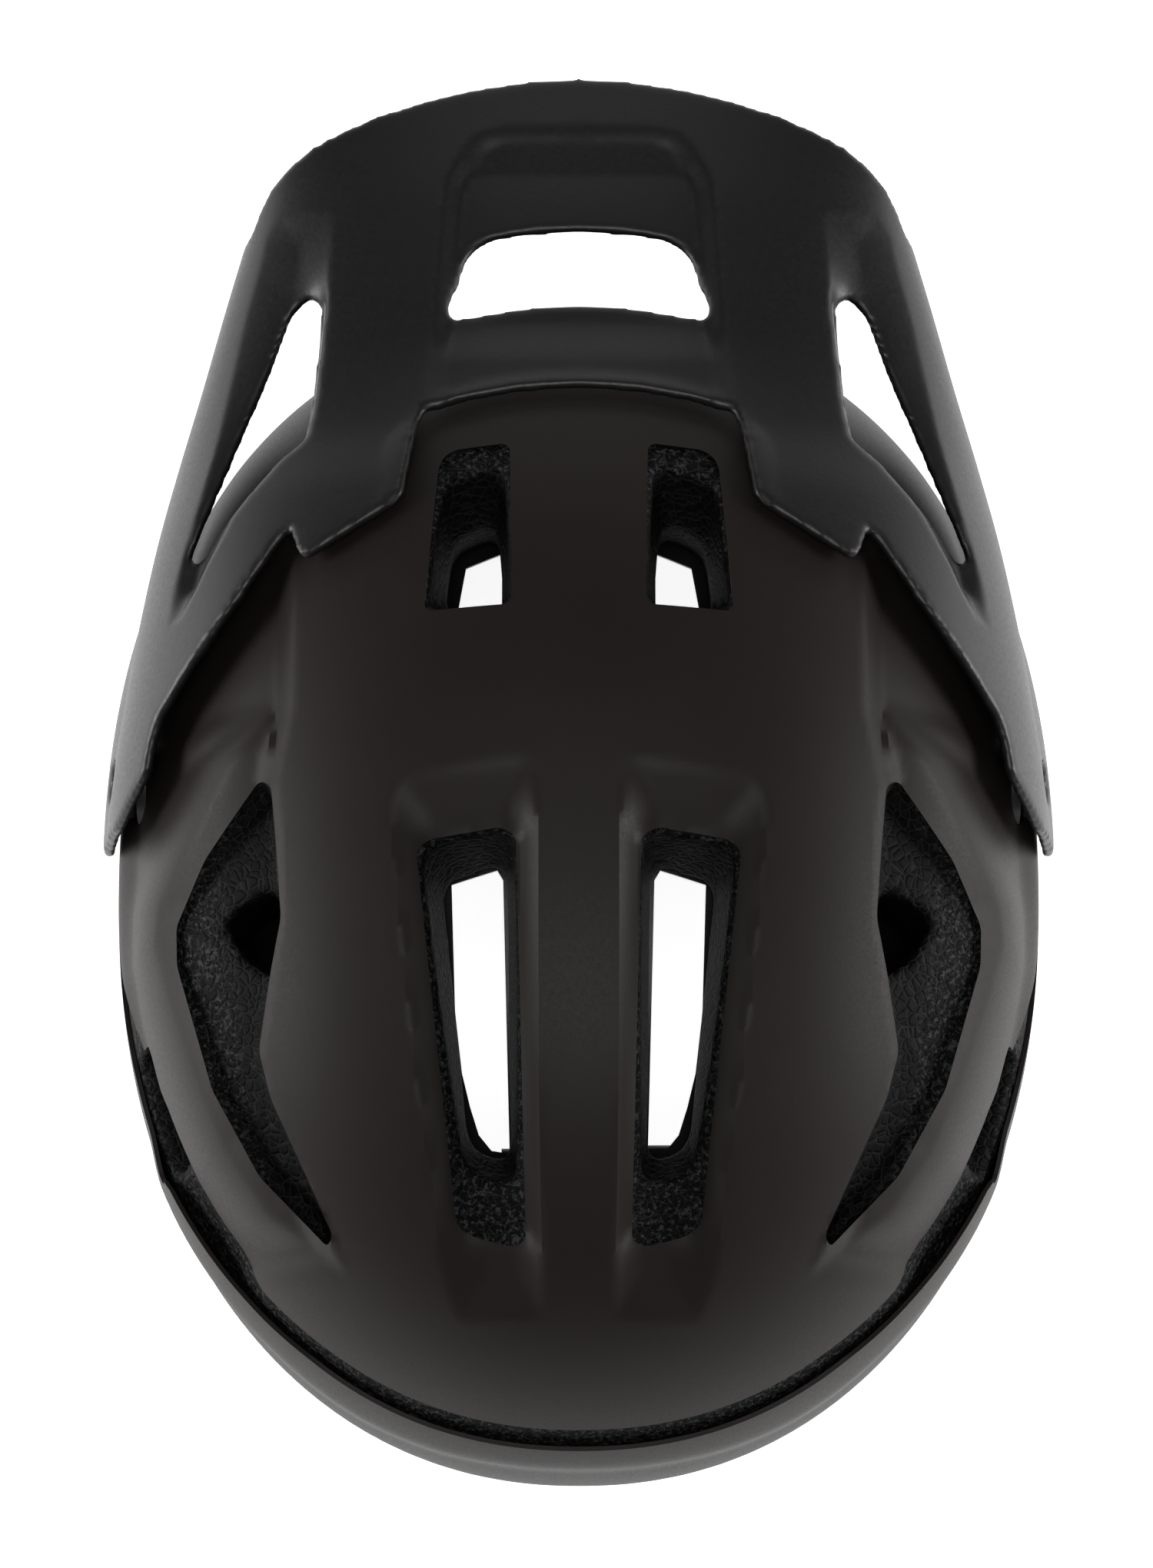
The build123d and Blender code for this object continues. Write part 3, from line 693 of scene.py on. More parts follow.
@dataclass(frozen=True)
class HelmetForm:
    """The outlines and levels that the skin, the foam and the visor share."""

    rim: Outline = ((-160, 11), (-122, 11), (-95, 0), (-42, 0), (-20, 24), (22, 24), (46, 0), (160, 0))
    arch: Outline = ((-62, 0), (-54, 16), (-40, 38), (-28, 45.5), (28, 45.5), (40, 38), (54, 16), (62, 0))
    upper_edge: Outline = ((-160, 34), (-100, 38), (-60, 44), (-20, 52), (20, 64), (43, 75), (54, 81),
                           (70, 84), (90, 86.5), (110, 89), (122, 89.5), (160, 92))
    lower_edge: Outline = ((-160, 31), (-100, 35), (-60, 41), (-20, 48), (20, 56), (38, 61.5),
                           (44, 62.5), (65, 63.5), (71, 71), (82, 75), (95, 79), (110, 82.3),
                           (125, 83), (160, 86))
    recess: Outline = ((40.8, -3), (38.5, -7.5), (26, -9.5), (12, -11), (9.3, -8), (8.8, 48), (7.5, 102),
                       (8.3, 106), (26, 106.5), (28.7, 100), (35.3, 56), (41, 1))
    plateau: Outline = ((64.5, -100), (63.8, -68.8), (62.9, -45), (63, -25), (66.5, -9), (65.3, 8),
                        (64.8, 21), (67, 32), (69.5, 50), (66.5, 62), (54, 88), (50, 97))
    flank: Outline = ((70, -30), (72.3, -22.6), (82.9, -4.6), (93.5, 12), (94.5, 20), (91.3, 31), (84.8, 50),
                      (78.1, 67), (68.6, 81.3), (57, 93), (51, 97))
    middle_mouth: Outline = ((35.3, 7.6), (32.8, 5.2), (16.8, 2.7), (13.6, 4.9), (11.5, 90.6), (14.6, 91.6),
                             (23.5, 89.3), (26.6, 87.1))
    side_mouth: Outline = ((70.2, -11.3), (67.5, -9.4), (66.2, 4.8), (65.0, 20.5), (67.3, 32.0),
                           (70.0, 48.3), (67.4, 58.4), (53.7, 87.7), (54.9, 90.2), (70.3, 73.9),
                           (80.9, 54.5), (89.2, 26.1), (89.4, 17.4), (82.7, 4.4))
    side_scoop: Outline = ((65.0, 11.5), (72.0, 13.5), (77.0, 16.5), (77.0, 20.0), (73.6, 26.0),
                           (65.5, 32.5))
    side_slope: tuple[float, float, float] = (7.7, 0.0, -15.7)
    pivot: Vector = field(default_factory=lambda: Vector((0, -22, 76)))
    recess_depth: float = 5.2
    shoulder_drop: float = 3.2
    flank_rise: float = 3.2
    band_proud: float = 1.4
    band_fold: float = 1.3

    def relief(self, at: np.ndarray) -> np.ndarray:
        """Height of the skin above the plain ovoid.

        Args:
            at: Points on the plain surface, one per row.

        Returns:
            Height of each point in millimetres.
        """
        x, y, z = np.abs(at[:, 0]), at[:, 1], at[:, 2]
        upper = ease((z - 62) / 16)
        border = depth_in(x, y, self.recess)
        mouth = np.maximum(-depth_in(x, y, self.middle_mouth), 0.0)
        made = np.where(border > 0, -self.recess_depth * border / (border + mouth + 1e-6), 0.0)
        shoulder = depth_in(x, y, [*self.plateau, (125, 97), (125, -100)])
        fade = ease((y + 98) / 40) * ease((100 - y) / 12)
        made -= self.shoulder_drop * np.clip(shoulder / 6, 0, 1) * fade
        bank = depth_in(x, y, [*self.flank, *reversed(self.plateau[4:])])
        rise = 1 - np.clip(line_gap(x, y, self.flank) / 8.5, 0, 1)
        span = ease((y + 30) / 14) * ease((97 - y) / 16)
        made += self.flank_rise * np.where(bank > 0, rise, 0) * span
        outside = depth_in(x, y, [*self.flank, (125, 97), (125, -30)])
        made += np.where(outside > 0, self.flank_rise * (1 - ease(outside / 16)), 0) * span
        return made * upper

    def lower_relief(self, at: np.ndarray) -> np.ndarray:
        """Height of the lower skin above the plain ovoid: a band that stands proud behind."""
        y, z = at[:, 1], at[:, 2]
        behind = ease((y - 55) / 14)
        proud = self.band_proud * behind * ease((z - 40) / 12)
        crease = np.interp(y, [55, 76, 89, 106, 122, 129, 132, 140], [56, 60, 65, 70, 71, 73, 75, 76])
        fold = -self.band_fold * behind * ease((crease - z) / 10) * ease((z - 20) / 10)
        return proud + fold

    def foam_relief(self, at: np.ndarray) -> np.ndarray:
        """Height of the foam, which dips wherever either skin does."""
        return self.relief(at) + np.minimum(self.lower_relief(at), 0.0)

    def vents(self) -> list[Vent]:
        """The three pairs of vents on top."""
        front = Vent(((30.9, -82.5), (28.3, -85.5), (15.3, -86.9), (14.7, -46.7), (33.9, -45.6)),
                     ((28.4, -66.5), (26.4, -69.3), (18.0, -72.7), (16.6, -52.0), (30.0, -51.5)), 146, 118)
        middle = Vent(self.middle_mouth,
                      ((29.6, 12.5), (28.2, 10.2), (18.2, 7.2), (16.2, 9.6), (14.8, 70.0), (16.0, 71.6),
                       (22.6, 69.4), (24.6, 65.0)), 150, 118, 1.6)
        return [front, middle]

    def side_pockets(self) -> list[bpy.types.Object]:
        """Tools for the sloping foam faces under the crescent vents, and for their scoops."""
        made = []
        for side in (1, -1):
            flip = list if side > 0 else mirrored
            pocket = prism(flip(self.side_mouth), 80, 180, 0.0, "side pocket")
            face = SKIN.dome(120, 0.0, None, "slope")
            face.data.transform(Matrix.Translation((side * self.side_slope[0], 0, self.side_slope[2])))
            carve(pocket, [face])
            made += [pocket, prism(flip(self.side_scoop), 50, 150, 3.0, "scoop")]
        return made

    def below_rim(self, rise: float) -> list[bpy.types.Object]:
        """Tools for what lies below the rim and for the arch at the nape."""
        under = cross_prism([(y, z + rise) for y, z in self.rim], -90, "under rim")
        arch = [(x * (1 + rise / 40), z + rise) for x, z in self.arch]
        bm = bmesh.new()
        outline = [(arch[0][0], -90), *arch, (arch[-1][0], -90)]
        face = bm.faces.new([bm.verts.new((x, 60, z)) for x, z in outline])
        grown = bmesh.ops.extrude_face_region(bm, geom=[face], use_keep_orig=True)
        fresh = [g for g in grown["geom"] if isinstance(g, bmesh.types.BMVert)]
        bmesh.ops.translate(bm, verts=fresh, vec=(0, 100, 0))
        uprights = [e for e in bm.edges if abs(e.verts[0].co.y - e.verts[1].co.y) > 50]
        bmesh.ops.bevel(bm, geom=uprights, offset=6.0, segments=5, profile=0.5, material=-1,
                        affect="EDGES", clamp_overlap=True)
        bmesh.ops.recalc_face_normals(bm, faces=bm.faces)
        return [under, as_object(bm, "nape arch")]

    def ports(self) -> list[bpy.types.Object]:
        """Tools for the exhaust ports behind the ears."""
        made = []
        for side in (1, -1):
            centre, half = Vector((84 * side, 47.6, 71)), Vector((30, 14, 7.5))
            made.append(block(centre - half, centre + half, 28 * side, 3.0, "port"))
        return made

    def socket_holes(self) -> list[bpy.types.Object]:
        """Tools for the holes that the visor sockets sit in."""
        return [drum(9.5, Vector((92 * s, self.pivot.y, self.pivot.z)),
                     Vector((120 * s, self.pivot.y, self.pivot.z)), 64, 0, "socket hole") for s in (1, -1)]


# ---------------------------------------------------------------- sub-assemblies


@dataclass
class Shell:
    """The thin two-piece skin and the foam under it."""

    form: HelmetForm
    finishes: Finishes
    wall: float = 1.0
    foam_gap: float = 0.15
    cells: int = 270
    hem: float = 3.0
    foam_voxel: float = 1.6

    def side_vent_holes(self) -> list[bpy.types.Object]:
        """Tools for the crescent vents in the skin."""
        return [prism(side, 70, 180, 1.6, "side hole")
                for side in (self.form.side_mouth, mirrored(self.form.side_mouth))]

    def upper(self) -> bpy.types.Object:
        """The upper skin with its vents."""
        body = SKIN.dome(self.cells, 0.0, self.form.relief, "upper skin", 106)
        tools = [SKIN.dome(self.cells - 90, self.wall, self.form.relief, "inside", 110)]
        tools.append(cross_prism(self.form.upper_edge, -90))
        for vent in self.form.vents():
            tools += vent.hole()
        tools += self.side_vent_holes() + self.form.ports() + self.form.socket_holes()
        carve(body, tools)
        return settle(body, "skin_upper", "helmet", "shell_matte", self.finishes.shell, "upper_shell",
                      smooth_angle=28)

    def lower(self) -> bpy.types.Object:
        """The lower skin that wraps the rim."""
        body = SKIN.dome(self.cells - 80, 0.0, self.form.lower_relief, "lower skin")
        tools = [SKIN.dome(self.cells - 120, self.wall, self.form.lower_relief, "inside")]
        tools.append(cross_prism(self.form.lower_edge, 220))
        tools += self.form.below_rim(self.hem) + self.form.ports()
        carve(body, tools)
        return settle(body, "skin_lower", "helmet", "shell_matte", self.finishes.shell, "lower_shell",
                      smooth_angle=28)

    def foam(self) -> bpy.types.Object:
        """The bead foam with its funnels, ports and rim."""
        inset = self.wall + self.foam_gap
        body = SKIN.dome(self.cells - 80, inset, self.form.foam_relief, "foam")
        tools = [HEAD.dome(120, 0.0, None, "head opening")]
        tools += self.form.below_rim(0.0)
        for vent in self.form.vents():
            tools += vent.funnels()
        tools += self.form.side_pockets()
        tools += self.form.ports() + self.form.socket_holes()
        carve(body, tools)
        shrink = body.modifiers.new("voxels", "REMESH")
        shrink.mode, shrink.voxel_size, shrink.use_smooth_shade = "VOXEL", self.foam_voxel, True
        soften = body.modifiers.new("soften", "SMOOTH")
        soften.factor, soften.iterations = 0.5, 2
        bake_modifiers(body)
        self.mark_torn_rim(body)
        return settle(body, "bead_foam", "helmet", "foam_black", self.finishes.foam, "foam_liner",
                      smooth_angle=180)

    def mark_torn_rim(self, body: bpy.types.Object) -> None:
        """Marks the foam that lies close under the skin, where its edge is torn and paler."""
        count = len(body.data.vertices)
        flat = np.empty(count * 3, np.float32)
        body.data.vertices.foreach_get("co", flat)
        at = flat.reshape(-1, 3).astype(float)
        depth = (1 - SKIN.gauge(at - [0, 0, SKIN.girth])) * 110
        depth += self.form.foam_relief(at)
        near = ease((3.4 - depth) / 2.0)
        attribute = body.data.attributes.new("torn_rim", "FLOAT", "POINT")
        attribute.data.foreach_set("value", near.astype(np.float32))


@dataclass
class Visor:
    """The peak, its two bosses and the seats and bores for their finger screws."""

    form: HelmetForm
    finishes: Finishes
    wall: float = 2.4
    gap: float = 1.0
    voxel: float = 0.82
    swell: float = 0.18
    edge_reach: float = 3.2
    edge_start: float = -186.0
    stations: Sequence[tuple[float, float, float, float]] = (
        (-192, 62.5, 96.4, 101.5), (-181, 66.3, 94.2, 105.0), (-165, 71.2, 91.0, 110.2),
        (-150, 75.1, 88.0, 115.0), (-130, 81.0, 84.2, 120.0), (-110, 86.7, 80.5, 124.7),
        (-94, 91.5, 77.0, 131.0), (-76, 96.4, 73.5, 141.0), (-58, 100.4, 69.6, 148.0),
        (-41, 103.6, 66.0, 152.6), (-22, 106.7, 62.0, 155.2), (-2, 108.6, 58.0, 156.5))
    plan: Outline = ((0, -180.5), (12, -179.7), (24, -177.8), (36, -174.8), (46, -171.5), (54, -168.2),
                     (60.5, -165), (66, -161.2), (70, -157), (73, -152), (75.2, -146), (130, -146),
                     (130, -8), (104.5, -8), (102, -11), (97, -17.5), (96, -24), (94.3, -29), (86, -40),
                     (76.5, -52), (66.5, -66), (64.2, -68.5), (63, -64), (62, -61.2), (60, -60.8),
                     (42, -71.6), (39.2, -74.5), (36.2, -93.5), (34.4, -97), (26, -99.4), (13, -101.8),
                     (0, -102.6))
    window: Outline = ((0, -142), (12, -141.2), (20, -139.8), (24, -137.3), (26.2, -133.5),
                       (29.2, -121.5), (28.4, -119.8), (26, -119.8), (13, -122.2), (0, -123))
    slot: Outline = ((61.4, -127.3), (59.6, -126.9), (58.2, -124.7), (58.8, -115.7), (60.3, -99.4),
                     (61.6, -92), (67.9, -86.6), (77.5, -75.9), (85.5, -64.6), (88, -58.5),
                     (88.4, -63), (84.4, -73.8), (76.9, -94.2), (69.8, -112), (65.7, -123.4),
                     (63.9, -126.1))
    centre_recess: Outline = ((-17, -168), (17, -168), (23, -166), (26.3, -162.4), (30.5, -153.4),
                              (31.5, -140), (32.3, -124.3), (34.5, -97.2), (36, -85), (-36, -85),
                              (-34.5, -97.2), (-32.3, -124.3), (-31.5, -140), (-30.5, -153.4),
                              (-26.3, -162.4), (-23, -166))
    side_recess: Outline = ((55.3, -146.3), (57.4, -148.3), (61.8, -148.8), (68.1, -147.8),
                            (71, -144), (72, -137.6), (75.4, -124.2), (81, -95.4), (85.8, -75.5),
                            (90.2, -60), (92, -50), (88.5, -51), (77, -74.5), (67.5, -85.5),
                            (61.2, -91), (59.3, -100), (57, -126))

    def section(self, y: np.ndarray) -> tuple[np.ndarray, np.ndarray, np.ndarray]:
        """Half width, foot and crown of the arch at each y, through a smooth curve."""
        table = np.array(self.stations)
        made = []
        for column in (1, 2, 3):
            slopes = np.gradient(table[:, column], table[:, 0])
            index = np.clip(np.searchsorted(table[:, 0], y) - 1, 0, len(table) - 2)
            x0, x1 = table[index, 0], table[index + 1, 0]
            p0, p1 = table[index, column], table[index + 1, column]
            m0, m1, span = slopes[index], slopes[index + 1], x1 - x0
            t = (y - x0) / span
            made.append((2 * t**3 - 3 * t**2 + 1) * p0 + (t**3 - 2 * t**2 + t) * span * m0
                        + (-2 * t**3 + 3 * t**2) * p1 + (t**3 - t**2) * span * m1)
        return made[0], made[1], made[2]

    def relief(self, x: np.ndarray, y: np.ndarray) -> np.ndarray:
        """Depth of the recesses round the openings, as negative heights."""
        centre = depth_in(x, y, self.centre_recess)
        made = -2.8 * np.clip(centre / 4.0, 0, 1) * np.clip((y + 169) / 12, 0.2, 1)
        made *= 1 - 0.7 * ease((y + 120) / 12)
        border = depth_in(np.abs(x), y, self.side_recess)
        hole = np.maximum(-depth_in(np.abs(x), y, self.slot), 0.0)
        return made - np.where(border > 0, 3.4 * border / (border + hole + 1e-6), 0.0)

    def trim(self, bm: bmesh.types.BMesh) -> None:
        """Trims the sheet to its plan and cuts its openings, with its edges on the outlines.

        Args:
            bm: The sheet before it gets its thickness.
        """
        bm.verts.index_update()
        at = np.array([v.co for v in bm.verts])
        x, y = at[:, 0], at[:, 1]
        room = np.minimum.reduce([depth_in(x, y, whole(self.plan)), -depth_in(x, y, whole(self.window)),
                                  -depth_in(np.abs(x), y, self.slot)])
        kept, pulled, hits = room > 0, np.zeros_like(at), np.zeros(len(at))
        waste = []
        for face in bm.faces:
            corners = [v.index for v in face.verts]
            inner = [i for i in corners if kept[i]]
            if not inner:
                waste.append(face)
            elif len(inner) < len(corners):
                for a in set(corners) - set(inner):
                    for b in inner:
                        share = room[a] / (room[a] - room[b])
                        pulled[a] += at[a] + (at[b] - at[a]) * share
                        hits[a] += 1
        for vert in bm.verts:
            if hits[vert.index]:
                vert.co = pulled[vert.index] / hits[vert.index]
        bmesh.ops.delete(bm, geom=waste, context="FACES")
        bm.normal_update()

    def peak(self) -> bpy.types.Object:
        """The curved peak with its openings, rounded all over."""
        bm = bmesh.new()
        bmesh.ops.create_grid(bm, x_segments=260, y_segments=420, size=1.0)
        grid = np.array([v.co for v in bm.verts])
        y = -96.0 + grid[:, 0] * 94.0
        half, foot, crown = self.section(y)
        turn = grid[:, 1] * math.pi / 2
        reach = (np.abs(np.sin(turn)) ** 2.3 + np.abs(np.cos(turn)) ** 2.3) ** (-1 / 2.3)
        x = half * reach * np.sin(turn)
        z = foot + (crown - foot) * reach * np.cos(turn)
        for vert, place in zip(bm.verts, np.stack([x, y, z], axis=1)):
            vert.co = place
        bmesh.ops.recalc_face_normals(bm, faces=bm.faces)
        bm.normal_update()
        up = sum(f.normal.z for f in bm.faces)
        if up < 0:
            bmesh.ops.reverse_faces(bm, faces=bm.faces)
            bm.normal_update()
        height = self.relief(x, y)
        for vert, lift in zip(bm.verts, height):
            vert.co = vert.co + vert.normal * float(lift)
        at = np.array([v.co for v in bm.verts])
        away = SKIN.outward(at - [0, 0, SKIN.girth])
        level = SKIN.gauge(at - [0, 0, SKIN.girth])
        climb = SKIN.gauge(at + away - [0, 0, SKIN.girth]) - level
        short = np.maximum(self.gap + self.wall + 0.2 - (level - 1) / climb, 0.0)
        for vert, push in zip(bm.verts, away * short[:, None]):
            vert.co = vert.co + Vector(push)
        self.trim(bm)
        bmesh.ops.solidify(bm, geom=list(bm.faces), thickness=self.wall)
        bmesh.ops.recalc_face_normals(bm, faces=bm.faces)
        body = as_object(bm, "peak")
        for side in (1, -1):
            hub = Vector((0, self.form.pivot.y, self.form.pivot.z))
            along = Vector((side, 0, 0))
            carve(body, [drum(8.0, hub + along * 100.6, hub + along * 104.4, 64, 0.6, "boss")], Cut.JOIN)
            carve(body, [drum(4.8, hub + along * 103.0, hub + along * 125, 48, 0, "screw seat"),
                         drum(3.1, hub + along * 90, hub + along * 125, 40, 0, "bore")])
        shrink = body.modifiers.new("voxels", "REMESH")
        shrink.mode, shrink.voxel_size, shrink.use_smooth_shade = "VOXEL", self.voxel, True
        soften = body.modifiers.new("soften", "SMOOTH")
        soften.factor, soften.iterations = 0.5, 3
        bake_modifiers(body)
        self.round_edges(body)
        plump = body.modifiers.new("swell", "DISPLACE")
        plump.strength, plump.mid_level = self.swell, 0.0
        bake_modifiers(body)
        return settle(body, "peak", "peak", "visor_matte", self.finishes.visor, "visor",
                      smooth_angle=180)


    def round_edges(self, body: bpy.types.Object) -> None:
        """Smooths the trimmed edges more than the faces, as a mould's parting edge is.

        Args:
            body: The peak in millimetres.
        """
        at = np.array([v.co for v in body.data.vertices])
        gaps = [line_gap(np.abs(at[:, 0]), at[:, 1], [*line, line[0]])
                for line in (self.plan, self.slot, self.window)]
        near = np.flatnonzero((np.min(gaps, axis=0) < self.edge_reach) & (at[:, 1] > self.edge_start))
        edges = body.vertex_groups.new(name="edges")
        edges.add([int(i) for i in near], 1.0, "REPLACE")
        soften = body.modifiers.new("soften edges", "SMOOTH")
        soften.factor, soften.iterations, soften.vertex_group = 0.5, 10, "edges"
        bake_modifiers(body)


class Pad(Enum):
    """The comfort pads: CAD node, body and how full each is."""

    BROW = ("brow_pad", "liner", 0.7)
    CROWN = ("crown_pad", "liner", 0.6)
    UPPER_LEFT = ("upper_pad_left", "liner", 0.6)
    UPPER_RIGHT = ("upper_pad_right", "liner", 0.6)
    SIDE_LEFT = ("side_pad_left", "liner", 0.6)
    SIDE_RIGHT = ("side_pad_right", "liner", 0.6)
    NAPE_LEFT = ("occipital_pad_left", "cradle", 0.6)
    NAPE_RIGHT = ("occipital_pad_right", "cradle", 0.6)


@dataclass
class Padding:
    """Knit-covered foam pads, filled out by a short cloth simulation."""

    finishes: Finishes
    shrink: float = 0.55
    voxel: float = 1.5
    pressure: float = 4.0
    frames: int = 20
    most_travel: float = 0.9

    def fill_out(self, piece: bpy.types.Object) -> None:
        """Blows a pad out a little, like foam under a stretched cover.

        Args:
            piece: The pad in metres.
        """
        start = np.empty(len(piece.data.vertices) * 3, np.float32)
        piece.data.vertices.foreach_get("co", start)
        cloth = piece.modifiers.new("cover", "CLOTH")
        cloth.settings.use_pressure = True
        cloth.settings.uniform_pressure_force = self.pressure
        cloth.settings.effector_weights.gravity = 0
        cloth.settings.tension_stiffness = 25
        cloth.settings.compression_stiffness = 25
        cloth.settings.bending_stiffness = 0.6
        cloth.point_cache.frame_start, cloth.point_cache.frame_end = 1, self.frames
        for step in range(1, self.frames + 1):
            bpy.context.scene.frame_set(step)
        bake_modifiers(piece)
        bpy.context.scene.frame_set(1)
        end = np.empty_like(start)
        piece.data.vertices.foreach_get("co", end)
        travel = (end - start).reshape(-1, 3)
        length = np.linalg.norm(travel, axis=1, keepdims=True)
        limit = self.most_travel * MM
        travel *= np.minimum(1, limit / np.maximum(length, 1e-9))
        piece.data.vertices.foreach_set("co", (start.reshape(-1, 3) + travel).ravel())

    def make(self, pad: Pad) -> bpy.types.Object:
        """One pad from its plain CAD solid.

        Args:
            pad: Which pad.

        Returns:
            The pad.
        """
        node, body, fill = pad.value
        piece = bpy.data.objects.new(node, frame["nodes"][node].data.copy())
        bpy.context.scene.collection.objects.link(piece)
        shell = piece.modifiers.new("voxels", "REMESH")
        shell.mode, shell.voxel_size = "VOXEL", self.voxel * MM
        draw_in = piece.modifiers.new("draw in", "DISPLACE")
        draw_in.strength, draw_in.mid_level = -self.shrink * MM, 0.0
        soften = piece.modifiers.new("soften", "SMOOTH")
        soften.factor, soften.iterations = 0.5, 6
        bake_modifiers(piece)
        self.fill_out(piece)
        finer = piece.modifiers.new("finer", "SUBSURF")
        finer.levels = finer.render_levels = 1
        bake_modifiers(piece)
        piece.data.transform(Matrix.Scale(1 / MM, 4))
        settle(piece, node + "_cover", body, "pad_fabric", self.finishes.knit, node, smooth_angle=180)
        return piece

    def build(self) -> None:
        """Makes every pad."""
        for pad in Pad:
            self.make(pad)


@dataclass
class Harness:
    """The webbing of the retention harness."""

    finishes: Finishes
    thick: float = 1.5
    low: float = 4.0
    high: float = 19.0
    corner: float = 3.0
    step: float = 1.5
    front: Outline = ((71.0, -53.0), (65.0, -14.0), (64.0, -1.2), (42.0, -1.2))
    rear: Outline = ((68.0, 57.0), (64.5, 14.0), (64.0, 1.2), (45.0, 1.2))
    socket_run: Outline = ((44.0, 58.0), (11.0, 58.0))
    tongue_run: Outline = ((44.0, 54.6), (8.0, 54.6))

    def eased(self, route: Outline) -> np.ndarray:
        """A route with round corners and even steps.

        Args:
            route: Corners in plan.

        Returns:
            Points along it, one per row.
        """
        made = [Vector(route[0])]
        for before, here, after in zip(route, route[1:], route[2:]):
            here, to_before, to_after = Vector(here), Vector(before), Vector(after)
            back, on = (to_before - here).normalized(), (to_after - here).normalized()
            half = math.acos(max(-1, min(1, back.dot(on)))) / 2
            reach = self.corner / math.tan(half)
            centre = here + (back + on).normalized() * (self.corner / math.sin(half))
            start, end = here + back * reach, here + on * reach
            sweep = math.pi - 2 * half
            turn = 1 if (start - centre).cross(end - centre) > 0 else -1
            for share in np.linspace(0, 1, 7):
                spin = Matrix.Rotation(turn * sweep * share, 2)
                made.append(centre + spin @ (start - centre))
        made.append(Vector(route[-1]))
        line = np.array(made)
        gaps = np.linalg.norm(np.diff(line, axis=0), axis=1)
        run = np.concatenate([[0], np.cumsum(gaps)])
        count = max(2, int(run[-1] / self.step))
        even = np.linspace(0, run[-1], count + 1)
        return np.stack([np.interp(even, run, line[:, 0]), np.interp(even, run, line[:, 1]), even], axis=1)

    def webbing(self, route: Outline, side: int, node: str) -> bpy.types.Object:
        """A flat woven strap that stands on edge along a route.

        Args:
            route: Corners in plan, on the left.
            side: 1 for the left, -1 for the right.
            node: The CAD node it stands for.

        Returns:
            The strap.
        """
        path = self.eased(route)
        tangent = np.gradient(path[:, :2], axis=0)
        tangent /= np.linalg.norm(tangent, axis=1, keepdims=True)
        across = np.stack([-tangent[:, 1], tangent[:, 0]], axis=1)
        round_steps = 20
        turn = np.linspace(0, 2 * math.pi, round_steps + 1)
        power = 2 / 7
        wide = np.sign(np.cos(turn)) * np.abs(np.cos(turn)) ** power * (self.high - self.low) / 2
        deep = np.sign(np.sin(turn)) * np.abs(np.sin(turn)) ** power * (self.thick / 2 - 0.05)
        girth = np.concatenate([[0], np.cumsum(np.hypot(np.diff(wide), np.diff(deep)))])
        bm = bmesh.new()
        bmesh.ops.create_grid(bm, x_segments=len(path) - 1, y_segments=round_steps, size=1.0)
        layer = bm.loops.layers.uv.new("weave")
        middle = (self.low + self.high) / 2
        for face in bm.faces:
            for loop in face.loops:
                i = round((loop.vert.co.x + 1) / 2 * (len(path) - 1))
                j = round((loop.vert.co.y + 1) / 2 * round_steps)
                loop[layer].uv = (path[i, 2], girth[j])
        for vert in bm.verts:
            i = round((vert.co.x + 1) / 2 * (len(path) - 1))
            j = round((vert.co.y + 1) / 2 * round_steps)
            place = path[i, :2] + across[i] * deep[j]
            vert.co = (side * place[0], place[1], middle + wide[j])
        bmesh.ops.remove_doubles(bm, verts=bm.verts, dist=0.01)
        bmesh.ops.holes_fill(bm, edges=[e for e in bm.edges if e.is_boundary], sides=0)
        bmesh.ops.recalc_face_normals(bm, faces=bm.faces)
        piece = as_object(bm, node + "_webbing")
        return settle(piece, node + "_webbing", "helmet", "webbing_black", self.finishes.webbing, node,
                      smooth_angle=60)

    def build(self) -> None:
        """Makes the four straps."""
        self.webbing([*self.front, *self.socket_run], 1, "strap_front_left")
        self.webbing([*self.front, *self.tongue_run], -1, "strap_front_right")
        self.webbing(self.rear, 1, "strap_rear_left")
        self.webbing(self.rear, -1, "strap_rear_right")


